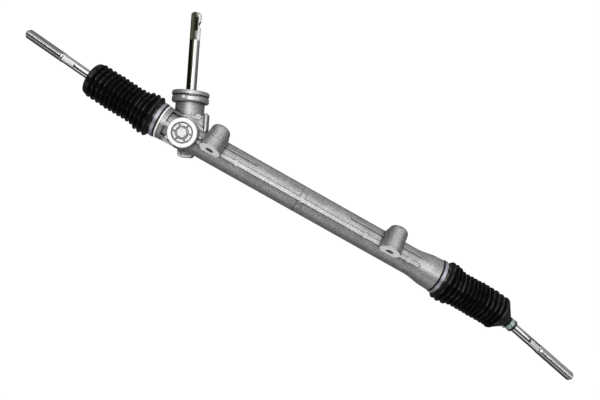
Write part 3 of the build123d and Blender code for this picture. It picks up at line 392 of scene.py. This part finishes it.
def front_highlight_mask(tree):
    """1 on the flat cast faces that look to the front, which get a painted highlight."""
    normal = add(tree, "ShaderNodeNewGeometry").outputs["Normal"]
    front = tuple(RACK.to_3x3() @ Vector((0, 0, 1)))
    facing = vector_node(tree, "DOT_PRODUCT", normal, front).outputs["Value"]
    return remap(tree, facing, FACING_FRONT, 0.0, 1.0)


def cast_aluminium():
    """Die-cast housing: fine sandy skin, soft mottling, edges that show wear, a painted highlight on
    edges and on faces that look to the front, painted shade in corners, and bright machined faces.
    """
    material, tree, shader = new_material("cast_aluminium")
    rack = frame_coordinates(tree, RACK)
    row = frame_coordinates(tree, Matrix.Identity(4))
    machined = machined_mask(tree, rack, row)
    patches = noise(tree, rack, scale=0.055, detail=4.0, roughness=0.6)
    grain = noise(tree, rack, scale=0.5, detail=4.0, roughness=0.65)
    mottled = toned(tree, patches, (0.35, 0.68), grey(0.27, 0.008), grey(0.46, 0.012))
    sandy = toned(tree, grain, (0.42, 0.62), grey(0.22, 0.01), grey(0.62, 0.012))
    cast = mix_colours(tree, 0.5, mottled, sandy)
    # Painted highlight on faces that look to the front and on outer edges, which also show wear.
    highlit_and_worn_share = math_node(tree, "MAXIMUM", front_highlight_mask(tree), edge_wear_and_highlight(tree, distance=1.3))
    highlit_and_worn_colour = mix_colours(tree, highlit_and_worn_share, cast, mix_colours(tree, 0.6, cast, grey(HIGHLIGHT_AND_WEAR_GREY)))
    clean = mix_colours(tree, machined, highlit_and_worn_colour, grey(MACHINED_GREY, 0.003))
    # Painted shade in corners and crevices: a wide soft one and a tight dark one.
    wide = painted_corner_shade(tree, distance=7.0, floor=0.42)
    tight = painted_corner_shade(tree, distance=2.4, floor=0.03, full=0.9)
    colour = mix_colours(tree, math_node(tree, "MULTIPLY", wide, tight), grey(PAINTED_SHADE_GREY, 0.02), clean)
    feed(tree, shader.inputs["Base Color"], colour)
    skin = remap(tree, noise(tree, rack, scale=0.3, detail=3.0), MID_NOISE, 0.46, 0.58)
    feed(tree, shader.inputs["Roughness"], mix_numbers(tree, machined, skin, 0.42))
    feed(tree, shader.inputs["Metallic"], mix_numbers(tree, machined, 0.86, 0.2))
    cast_only = math_node(tree, "SUBTRACT", 1.0, machined)
    bump(tree, shader, math_node(tree, "MULTIPLY", grain, cast_only), depth=0.16)
    return material


def turned_metal(name, finish, axis_frame, depth=0.02, metallic=1.0):
    """Lathe-turned metal with fine rings about the Z of a frame, and painted shade in its corners."""
    value, roughness = finish
    material, tree, shader = new_material(name, Metallic=metallic)
    place = frame_coordinates(tree, axis_frame)
    flat = vector_node(tree, "MULTIPLY", place, (1, 1, 0)).outputs["Vector"]
    radius = vector_node(tree, "LENGTH", flat).outputs["Value"]
    along_radius = add(tree, "ShaderNodeCombineXYZ", {0: radius}).outputs[0]
    rings = noise(tree, along_radius, scale=3.2, detail=3.0)
    patches = noise(tree, place, scale=0.12, detail=3.0)
    tone = toned(tree, patches, MID_NOISE, grey(value * 0.86), grey(value))
    # Painted shade in corners.
    shade = painted_corner_shade(tree, distance=4.0, floor=0.06, full=0.97)
    feed(tree, shader.inputs["Base Color"], mix_colours(tree, shade, grey(PAINTED_SHADE_GREY), tone))
    rough = remap(tree, rings, MID_NOISE, roughness - 0.05, roughness + 0.07)
    feed(tree, shader.inputs["Roughness"], rough)
    bump(tree, shader, rings, depth)
    return material


def grease_and_shaded_side(tree, place):
    """1 on the side of the pinion shaft that gets painted shade, and over the grease on its top."""
    x, _, height = add(tree, "ShaderNodeSeparateXYZ", {0: place}).outputs
    rag = math_node(tree, "MULTIPLY", noise(tree, place, scale=0.5, detail=3.0), GREASE_AND_SHADE_RAG)
    ragged_x = math_node(tree, "ADD", x, rag)
    # Painted shade down the shaft's side, where the pinion's X is low.
    side = remap(tree, ragged_x, SHADED_SIDE, 1.0, 0.0)
    front = remap(tree, ragged_x, GREASE_FRONT, 1.0, 0.0)
    top = near(tree, height, *GREASE_TOP, soft=1.0)
    return math_node(tree, "MAXIMUM", side, math_node(tree, "MULTIPLY", top, front))


def shaft_steel(axis_frame):
    """Ground shaft with painted shade, dark and slightly green, down one side, grease over its
    serrations, and painted shade in corners.
    """
    material, tree, shader = new_material("shaft_steel", Metallic=1.0)
    place = frame_coordinates(tree, axis_frame)
    streaks = stretched_noise(tree, place, STREAK_SCALE, detail=3.0)
    bare = toned(tree, streaks, MID_NOISE, grey(0.44, 0.01), grey(0.6, 0.01))
    smear_and_shade_noise = noise(tree, place, scale=0.3, detail=3.0)
    greasy_and_shaded = mix_colours(tree, smear_and_shade_noise, GREASE_AND_SHADE_DARK, GREASE_AND_SHADE_PALE)
    # Painted shade down one side, and grease over the serrations.
    tone = mix_colours(tree, grease_and_shaded_side(tree, place), bare, greasy_and_shaded)
    # Painted shade in corners.
    shade = painted_corner_shade(tree, distance=1.6, floor=0.15)
    feed(tree, shader.inputs["Base Color"], mix_colours(tree, shade, grey(PAINTED_SHADE_GREY), tone))
    feed(tree, shader.inputs["Roughness"], remap(tree, streaks, MID_NOISE, 0.2, 0.3))
    bump(tree, shader, streaks, depth=0.012)
    return material


def rod_masks(tree, place, thread):
    """1 on a tie rod's thread, which starts at a height, and 1 on the spanner flats before it."""
    x, _, height = add(tree, "ShaderNodeSeparateXYZ", {0: place}).outputs
    threaded = remap(tree, height, (thread, thread + 1), 0.0, 1.0)
    beside = near(tree, height, thread - FLATS_LENGTH / 2, FLATS_LENGTH / 2)
    face = FLATS_ACROSS / 2
    on_face = remap(tree, math_node(tree, "ABSOLUTE", x), (face - 0.15, face - 0.05), 0.0, 1.0)
    return threaded, math_node(tree, "MULTIPLY", beside, on_face)


def drawn_steel(name, finish, axis_frame, thread=None):
    """Drawn bar with fine streaks along the Z of a frame, duller on a thread and on spanner flats."""
    value, roughness = finish
    material, tree, shader = new_material(name, Metallic=1.0)
    place = frame_coordinates(tree, axis_frame)
    streaks = stretched_noise(tree, place, STREAK_SCALE, detail=3.0)
    blotches = stretched_noise(tree, place, BLOTCH_SCALE, detail=4.0)
    tone = toned(tree, streaks, MID_NOISE, grey(value * 0.82), grey(value))
    rough = remap(tree, blotches, MID_NOISE, roughness - 0.04, roughness + 0.08)
    if thread:
        threaded, flat = rod_masks(tree, place, thread)
        tone = mix_colours(tree, threaded, tone, grey(value * 0.8))
        tone = mix_colours(tree, flat, tone, grey(FLATS_GREY))
        dull_thread = math_node(tree, "MULTIPLY", threaded, 0.06)
        dull_flat = math_node(tree, "MULTIPLY", flat, 0.35)
        rough = math_node(tree, "ADD", rough, math_node(tree, "MAXIMUM", dull_thread, dull_flat))
    feed(tree, shader.inputs["Base Color"], tone)
    feed(tree, shader.inputs["Roughness"], rough)
    bump(tree, shader, streaks, depth=0.012)
    return material


def plated_steel(name, colour):
    """Plated strip, whose tint comes and goes in soft patches."""
    material, tree, shader = new_material(name, Metallic=0.7)
    place = frame_coordinates(tree, RACK)
    patches = noise(tree, place, scale=0.25, detail=4.0, roughness=0.6)
    deep = tuple(part * 0.8 for part in colour[:3]) + (1.0,)
    feed(tree, shader.inputs["Base Color"], mix_colours(tree, patches, deep, colour))
    feed(tree, shader.inputs["Roughness"], remap(tree, patches, MID_NOISE, 0.36, 0.48))
    bump(tree, shader, noise(tree, place, scale=2.0, detail=3.0), depth=0.02)
    return material


def rubber(name, finish):
    """Moulded rubber: near black, satin, with a faint bloom of dust in its skin."""
    value, roughness = finish
    constants = {"Metallic": 0.0, "Specular IOR Level": 0.5}
    material, tree, shader = new_material(name, **constants)
    place = frame_coordinates(tree, RACK)
    bloom = noise(tree, place, scale=0.07, detail=4.0, roughness=0.65)
    tone = toned(tree, bloom, (0.4, 0.75), grey(value), grey(value * 1.9))
    feed(tree, shader.inputs["Base Color"], tone)
    rough = remap(tree, bloom, MID_NOISE, roughness, roughness + 0.16)
    feed(tree, shader.inputs["Roughness"], rough)
    bump(tree, shader, noise(tree, place, scale=1.6, detail=3.0, roughness=0.6), depth=0.05)
    return material


def acetal():
    """Natural engineering plastic of the bush, seats, liner and cage."""
    constants = {"Metallic": 0.0, "Subsurface Weight": 0.1}
    material, tree, shader = new_material("acetal", **constants)
    place = frame_coordinates(tree, RACK)
    cloud = noise(tree, place, scale=0.1)
    feed(tree, shader.inputs["Base Color"], mix_colours(tree, cloud, ACETAL_DARK, ACETAL_PALE))
    feed(tree, shader.inputs["Roughness"], remap(tree, cloud, MID_NOISE, 0.35, 0.45))
    bump(tree, shader, noise(tree, place, scale=2.5), depth=0.01)
    return material


# ---- Frames ---------------------------------------------------------------------------------
def axes_matrix(origin, x_dir, z_dir):
    """Matrix in the row frame from an origin and two directions about the rack, in millimetres."""
    z = Vector(z_dir).normalized()
    x = Vector(x_dir)
    x = (x - z * x.dot(z)).normalized()
    return RACK @ Matrix.Translation(Vector(origin) * MM) @ rotation(x, z.cross(x), z)


def pinion_frame():
    """Z along the pinion's axis from the rack upwards."""
    lean = math.radians(PINION_LEAN)
    across = (math.cos(lean), math.sin(lean), 0)
    along = (-math.sin(lean), math.cos(lean), 0)
    return axes_matrix((PINION_X, 0, -PINION_OFFSET), across, along)


def rod_direction(side):
    """Direction of a tie rod at rest, about the rack."""
    tilt = math.radians(TILT[side])
    return Vector((SIDES[side] * math.cos(tilt), math.sin(tilt), 0))


def rod_frame(side):
    """Ball centre, with X to the front and Z along the tie rod at rest."""
    return axes_matrix((BALL_X[side], 0, 0), (0, 0, 1), rod_direction(side))


# ---- Meshes ---------------------------------------------------------------------------------
def skin_mesh(name, rings, material, sharp):
    """Surface through rings of points, in metres in the row frame, shaded sharp above an angle."""
    count = len(rings[0])
    points = [point for ring in rings for point in ring]
    faces = []
    for row in range(len(rings) - 1):
        low, high = row * count, (row + 1) * count
        for step in range(count):
            after = (step + 1) % count
            faces.append((low + step, low + after, high + after, high + step))
    mesh = bpy.data.meshes.new(name)
    mesh.from_pydata(points, [], faces)
    mesh.validate()
    mesh.polygons.foreach_set("use_smooth", [True] * len(mesh.polygons))
    mesh.set_sharp_from_angle(angle=math.radians(sharp))
    mesh.materials.append(material)
    return in_scene(name, mesh)


def thread_drop(side, height, turn):
    """How far a thread's flank lies below its crest."""
    start = THREAD_START[side]
    if height <= start:
        return 0.0
    phase = (height / THREAD_PITCH - turn / (2 * math.pi)) % 1.0
    from_crest = abs(phase - 0.5) * 2
    depth = THREAD_DEPTH * min(1.0, max(0.0, (from_crest - THREAD_CREST) / THREAD_FLANK))
    return depth * min(1.0, (height - start) / (THREAD_FADE * THREAD_PITCH))


def flat_height(side, height):
    """Half the rod's width across its spanner flats, widening where the cutter ran out."""
    end = THREAD_START[side]
    start = end - FLATS_LENGTH
    beyond = max(start - height, height - end, 0.0)
    if beyond >= CUTTER_R:
        return ROD_R + 1
    return FLATS_ACROSS / 2 + CUTTER_R - math.sqrt(CUTTER_R**2 - beyond**2)


def rod_outline(side):
    """Heights and radii along a tie rod, from the back of its ball to its tip."""
    joint = math.sqrt(BALL_R**2 - NECK_R**2)
    outline = []
    for step in range(BALL_STEPS + 1):
        angle = math.pi * step / BALL_STEPS
        height = -BALL_R * math.cos(angle)
        if height < joint:
            outline.append((height, BALL_R * math.sin(angle)))
    outline += [(joint, NECK_R), (NECK_END - NECK_FLARE, NECK_R), (NECK_END, ROD_R)]
    start = THREAD_START[side] - FLATS_LENGTH - RUN_OUT
    outline += [(start + step, ROD_R) for step in range(int(FLATS_LENGTH + RUN_OUT))]
    height = THREAD_START[side]
    while height < ROD_LENGTH - TIP_GAP:
        chamfer = max(0.0, height - (ROD_LENGTH - CHAMFER))
        outline.append((height, THREAD_R - chamfer))
        height += THREAD_PITCH / THREAD_STEPS
    end = THREAD_R - CHAMFER
    return outline + [(ROD_LENGTH, end), (ROD_LENGTH, end - TIP_EDGE), (ROD_LENGTH, TIP_HOLE_R)]


def tie_rod(side, material):
    """Inner tie rod with its ball, rolled thread and milled flats."""
    place = rod_frame(side)
    rings = []
    for height, radius in rod_outline(side):
        limit = flat_height(side, height)
        ring = []
        for step in range(ROD_POINTS):
            turn = 2 * math.pi * step / ROD_POINTS
            reach = min(radius, THREAD_R - thread_drop(side, height, turn))
            x = max(-limit, min(limit, reach * math.cos(turn)))
            ring.append(place @ Vector((x * MM, reach * math.sin(turn) * MM, height * MM)))
        rings.append(ring)
    piece = skin_mesh(f"tie_rod_{side}_threaded", rings, material, ROD_SHARP)
    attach(piece, f"tie_rod_{side}")
    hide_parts(f"tie_rod_{side}")


# ---- Bellows --------------------------------------------------------------------------------
def middle_line(side, size):
    """Height of the bellows' middle line at a distance along the rack from the housing's middle."""
    if side == "left":
        share = max(0.0, size - CUFF_END) / (LEFT_RISE_END - CUFF_END)
        return LEFT_RISE * share**LEFT_RISE_SHAPE
    share = min(1.0, max(0.0, (size - CUFF_START) / SAG_LENGTH))
    past = (size - BALL_X["right"] - RIGHT_BEND_PAST) / RIGHT_BEND_SOFT
    slope = math.tan(math.radians(TILT["right"]))
    bend = slope * RIGHT_BEND_SOFT * math.log1p(math.exp(past))
    return bend - SAG * share * share * (3 - 2 * share)


def fold_place(side, number):
    """Distance along the rack to a crest; the folds are a little uneven, as rubber is."""
    share = number / (FOLDS - 1)
    jitter = DRIFT_JITTER * math.sin(JITTER_RATE * share + DRIFT_PHASE[side])
    drift = DRIFT * math.sin(2 * math.pi * share) + jitter
    # The first and the last crest stay at the places that are named above.
    freedom = min(1.0, 6 * share * (1 - share))
    return FIRST_FOLD + (LAST_FOLD[side] - FIRST_FOLD) * share + drift * freedom


def fold_radius(side, number):
    """Radius of a crest."""
    if number < BIG_FOLDS:
        return BIG_FOLD_R[number]
    jitter = RADIUS_JITTER * math.sin(RADIUS_JITTER_RATE * number + RADIUS_PHASE[side])
    return FOLD_R[side] + jitter + RADIUS_DRIFT * math.sin(RADIUS_DRIFT_RATE * number)


def cuff_outline(side):
    """Places along the rack and radii, from the cuff's mouth to the first crest."""
    length, rise = CUFF_FILLET
    outline = [
        (CUFF_START, CUFF_MOUTH_R),
        (CUFF_START, CUFF_R - CUFF_ROUND),
        (CUFF_START + CUFF_ROUND, CUFF_R),
        (CUFF_END - length, CUFF_R),
        (CUFF_END, CUFF_R + rise),
    ]
    run = fold_place(side, 0) - CUFF_END
    climb = fold_radius(side, 0) - CUFF_R
    for step in range(1, RISE_STEPS + 1):
        share = step / RISE_STEPS
        lift = math.sin(share * math.pi / 2) ** RISE_SHAPE
        outline.append((CUFF_END + run * share, CUFF_R + climb * lift))
    return outline


def valley_outline(side, number):
    """Places and radii from just past a crest to the next crest."""
    here, after = fold_place(side, number), fold_place(side, number + 1)
    tall, next_tall = fold_radius(side, number), fold_radius(side, number + 1)
    depth = FOLD_DEPTH + (BIG_FOLD_EXTRA if number < BIG_FOLDS else 0.0)
    outline = []
    for step in range(1, FOLD_STEPS + 1):
        share = step / FOLD_STEPS
        crest = tall + (next_tall - tall) * share
        dip = (0.5 - 0.5 * math.cos(2 * math.pi * share)) ** FOLD_SHAPE
        outline.append((here + (after - here) * share, crest - depth * dip))
    return outline


def ring_about(side, centre, along, radius):
    """Ring of points square to a direction, from a centre and a radius in the rack's frame."""
    square = Vector((-along.y, along.x, 0))
    ring = []
    for step in range(RING_POINTS):
        turn = SIDES[side] * 2 * math.pi * step / RING_POINTS
        point = centre + square * (radius * math.cos(turn)) + Vector((0, 0, radius * math.sin(turn)))
        ring.append(rack_point(*point))
    return ring


def bellows_ring(side, size, radius):
    """Ring of the folded part, square to the middle line."""
    sign = SIDES[side]
    centre = Vector((sign * size, middle_line(side, size), 0))
    ahead = Vector((sign * (size + LINE_STEP), middle_line(side, size + LINE_STEP), 0))
    return ring_about(side, centre, (ahead - centre).normalized(), radius)


def rod_ring(side, height, radius):
    """Ring of the small end, square to the tie rod."""
    along = rod_direction(side)
    centre = Vector((BALL_X[side], 0, 0)) + along * height
    return ring_about(side, centre, along, radius)


def rings_between(first, last, steps):
    """Evenly spaced rings between two rings, without either of them."""
    shares = [step / steps for step in range(1, steps)]
    return [[a.lerp(b, share) for a, b in zip(first, last)] for share in shares]


def right_cone_rings():
    """Rounded shoulder past the right bellows' last crest, and the cone down to its grip."""
    start = fold_place("right", FOLDS - 1)
    wide = fold_radius("right", FOLDS - 1)
    rings = [bellows_ring("right", start + past, wide - inwards) for past, inwards in CONE_SHOULDER]
    neck = rod_ring("right", GRIP_START, GRIP_R)
    return rings + rings_between(rings[-1], neck, CONE_STEPS)


def left_shoulder_outline():
    """Places and radii past the left bellows' last crest, up to where it rolls inwards."""
    start = fold_place("left", FOLDS - 1)
    wide = fold_radius("left", FOLDS - 1)
    outline = []
    for step in range(1, SHOULDER_STEPS + 1):
        share = step / SHOULDER_STEPS
        dip = SHOULDER_DIP * math.sin(math.pi * share / DIP_SHARE) if share < DIP_SHARE else 0.0
        outline.append((start + (SHOULDER_END - start) * share, wide - SHOULDER_DROP * share - dip))
    return outline


def left_tuck_rings():
    """Roll at the left shoulder's end, and the skin that leads back inside to the grip."""
    size, edge = left_shoulder_outline()[-1]
    rings = []
    for step in range(1, ROLL_STEPS + 1):
        angle = math.pi * step / ROLL_STEPS
        radius = edge - ROLL_R * (1 - math.cos(angle))
        rings.append(bellows_ring("left", size + ROLL_R * math.sin(angle), radius))
    neck = rod_ring("left", GRIP_START, GRIP_R)
    return rings + rings_between(rings[-1], neck, TUCK_STEPS)


def grip_rings(side):
    """Small end that grips the tie rod, from its neck to inside its lip."""
    lip = GRIP_END - GRIP_LIP_LENGTH
    outline = [
        (GRIP_START, GRIP_R),
        (lip - 0.1 * LIP_ROUND, GRIP_R),
        (lip, GRIP_R + GRIP_LIP * 0.6),
        (lip + LIP_ROUND, GRIP_R + GRIP_LIP),
        (GRIP_END - 1.2 * LIP_ROUND, GRIP_R + GRIP_LIP),
        (GRIP_END, GRIP_R + GRIP_LIP * 0.4),
        (GRIP_END, ROD_R + SOFT),
        (GRIP_END - GRIP_DEPTH, ROD_R + SOFT),
    ]
    return [rod_ring(side, height, radius) for height, radius in outline]


def nearest_ring(rings, place):
    """Index of the ring whose centre is nearest to a distance along the rack."""
    centres = [abs(sum(point.x for point in ring) / len(ring)) / MM for ring in rings]
    return min(range(len(rings)), key=lambda index: abs(centres[index] - place))


def outside_rings(side):
    """Rings of the skin outside, from the cuff's mouth to the last one before the grip."""
    outline = cuff_outline(side)
    for number in range(FOLDS - 1):
        outline += valley_outline(side, number)
    if side == "left":
        outline += left_shoulder_outline()
    rings = [bellows_ring(side, size, radius) for size, radius in outline]
    return rings if side == "left" else rings + right_cone_rings()


def bellows_piece(side, part, rings, material):
    """One of the lengths that together take the place of a CAD bellows."""
    piece = skin_mesh(f"bellows_{side}_{part}", rings, material, RUBBER_SHARP)
    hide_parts(f"bellows_{side}")
    return piece


def bellows(side, material):
    """Folded rubber bellows: three lengths, and the grip on the rod, which rides with the tie rod."""
    seat, rod = f"ball_seat_{side}", f"tie_rod_{side}"
    outside = outside_rings(side)
    folds_end = nearest_ring(outside, abs(FOLD_BLEND[side][1]))
    swing_end = nearest_ring(outside, abs(SWING_BLEND[side][1]))
    lengths = {
        "folds": (outside[: folds_end + 1], "housing", "rack", FOLD_BLEND[side]),
        "swing": (outside[folds_end : swing_end + 1], "rack", seat, SWING_BLEND[side]),
        "tilt": (outside[swing_end:], seat, rod, TILT_BLEND[side]),
    }
    for part, (rings, first, second, blend) in lengths.items():
        piece = bellows_piece(side, part, rings, material)
        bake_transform(piece)
    tucked = left_tuck_rings() if side == "left" else []
    grip = bellows_piece(side, "grip", [outside[-1], *tucked, *grip_rings(side)], material)
    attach(grip, rod)


# ---- Dressing the CAD pieces ----------------------------------------------------------------
def dress(material, *names):
    """Gives CAD pieces a material."""
    for name in names:
        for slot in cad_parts[name].material_slots:
            slot.material = material


def dress_housing_and_rack():
    """Materials of the housing, the yoke, the rack bar and what is screwed to it."""
    yoke_frame = axes_matrix((PINION_X, 0, 0), (1, 0, 0), (0, 0, 1))
    rack_frame = axes_matrix((0, 0, 0), (0, 0, 1), (1, 0, 0))
    dress(cast_aluminium(), "rack_housing")
    dress(turned_metal("yoke_alloy", YOKE_ALLOY, yoke_frame, metallic=0.7), "yoke_plug", "yoke")
    dress(turned_metal("spring_steel", SPRING_STEEL, yoke_frame), "yoke_spring")
    bar_steel = drawn_steel("bar_steel", BAR_STEEL, rack_frame)
    dress(bar_steel, "rack_bar", "lock_washer_left", "lock_washer_right")
    socket_steel = turned_metal("socket_steel", SOCKET_STEEL, rack_frame)
    dress(socket_steel, "inner_joint_socket_left", "inner_joint_socket_right")


def dress_pinion():
    """Materials of the shaft, its bearings, the ring nut and the dust cap."""
    pinion = pinion_frame()
    dress(shaft_steel(pinion), "pinion_shaft")
    cap_alloy = turned_metal("cap_alloy", CAP_ALLOY, pinion, depth=0.03, metallic=0.75)
    dress(cap_alloy, "pinion_cap")
    dress(turned_metal("nut_steel", NUT_STEEL, pinion), "pinion_ring_nut", "pinion_snap_ring")
    dress(
        turned_metal("bearing_steel", BEARING_STEEL, pinion),
        "pinion_bearing_inner_race",
        "pinion_bearing_outer_race",
        "pinion_bearing_balls",
        "needle_bearing_shell",
        "needle_bearing_rollers",
        "needle_bearing_cage",
    )


def dress_small_pieces():
    """Materials of the seals, the plastic pieces and the clamps."""
    dress(rubber("seal_rubber", SEAL_RUBBER), "pinion_seal", "yoke_o_ring")
    dress(acetal(), "rack_bush", "yoke_liner", "ball_seat_left", "ball_seat_right", "pinion_bearing_cage")
    dress(plated_steel("band_steel", BAND_TINT), "large_clamp_left", "large_clamp_right")
    dress(plated_steel("spring_band_steel", SPRING_BAND_TINT), "small_clamp_left", "small_clamp_right")


# ---- Studio ---------------------------------------------------------------------------------
def view_axes():
    """Directions along the rack as the camera sees it, across it, and back to the camera."""
    yaw = math.radians(YAW)
    back = RACK.to_3x3() @ Vector((-math.sin(yaw), 0, math.cos(yaw)))
    along = Vector((1, 0, 0))
    along = (along - back * along.dot(back)).normalized()
    return along, back.cross(along), back


def make_camera():
    """Camera that sees the whole gear from the yoke's side."""
    along, across, back = view_axes()
    roll = math.radians(ROLL)
    right = along * math.cos(roll) + across * math.sin(roll)
    up = across * math.cos(roll) - along * math.sin(roll)
    data = bpy.data.cameras.new("camera")
    data.lens = LENS
    data.sensor_width = SENSOR
    place = Matrix.Translation(rack_point(0, -AIM_DROP, 0) + back * DISTANCE)
    bpy.context.scene.camera = in_scene("camera", data, place @ rotation(right, up, back))


def strip(name, angle, height, power, length=STRIP_LENGTH):
    """Long area light beside the camera's axis, at an angle above the rack, or below it if negative."""
    along, across, back = view_axes()
    angle = math.radians(angle)
    direction = back * math.cos(angle) + across * math.sin(angle)
    data = bpy.data.lights.new(name, "AREA")
    data.shape = "RECTANGLE"
    data.size, data.size_y = length, height
    data.energy = power
    place = Matrix.Translation(rack_point(0, 0, 0) + direction * STRIP_DISTANCE)
    in_scene(name, data, place @ rotation(along, direction.cross(along), direction))


def make_world():
    """Dim room that shades the metal, with a pale backdrop beyond the floor's edge."""
    world = bpy.data.worlds.new("studio")
    world.use_nodes = True
    tree = world.node_tree
    tree.nodes.clear()
    room = add(tree, "ShaderNodeBackground", {"Color": grey(ROOM_GREY), "Strength": 1.0})
    backdrop = add(tree, "ShaderNodeBackground", {"Color": grey(BACKDROP_GREY), "Strength": 1.0})
    seen = add(tree, "ShaderNodeLightPath").outputs["Is Camera Ray"]
    parts = {0: seen, 1: room.outputs["Background"], 2: backdrop.outputs["Background"]}
    mixed = add(tree, "ShaderNodeMixShader", parts)
    add(tree, "ShaderNodeOutputWorld", {"Surface": mixed.outputs[0]})
    bpy.context.scene.world = world


def make_floor():
    """Wide pale floor just below the gear."""
    height = cad_box[0].z - FLOOR_GAP
    around = ((-1, -1), (1, -1), (1, 1), (-1, 1))
    corners = [(x * FLOOR_HALF, y * FLOOR_HALF, height) for x, y in around]
    mesh = bpy.data.meshes.new("floor")
    mesh.from_pydata(corners, [], [(0, 1, 2, 3)])
    constants = {
        "Base Color": grey(0.0),
        "Roughness": 0.9,
        "Emission Color": grey(1.0),
        "Emission Strength": 1.0,
    }
    material, _, _ = new_material("floor", **constants)
    mesh.materials.append(material)
    floor = in_scene("floor", mesh)
    floor.visible_glossy = False


# ---- Building -------------------------------------------------------------------------------
bpy.context.scene.view_settings.view_transform = "Standard"
make_camera()
make_world()
make_floor()
strip("key", angle=38, height=1.35, power=25)
strip("front", angle=10, height=0.2, power=8)
strip("catch", angle=6, height=0.2, power=5, length=0.4)
strip("low", angle=-60, height=0.8, power=9)
strip("top", angle=100, height=1.0, power=8)
dress_housing_and_rack()
dress_pinion()
dress_small_pieces()
bellows_rubber = rubber("bellows_rubber", BELLOWS_RUBBER)
for side in SIDES:
    rod_steel = drawn_steel(f"rod_steel_{side}", ROD_STEEL, rod_frame(side), THREAD_START[side])
    tie_rod(side, rod_steel)
    bellows(side, bellows_rubber)
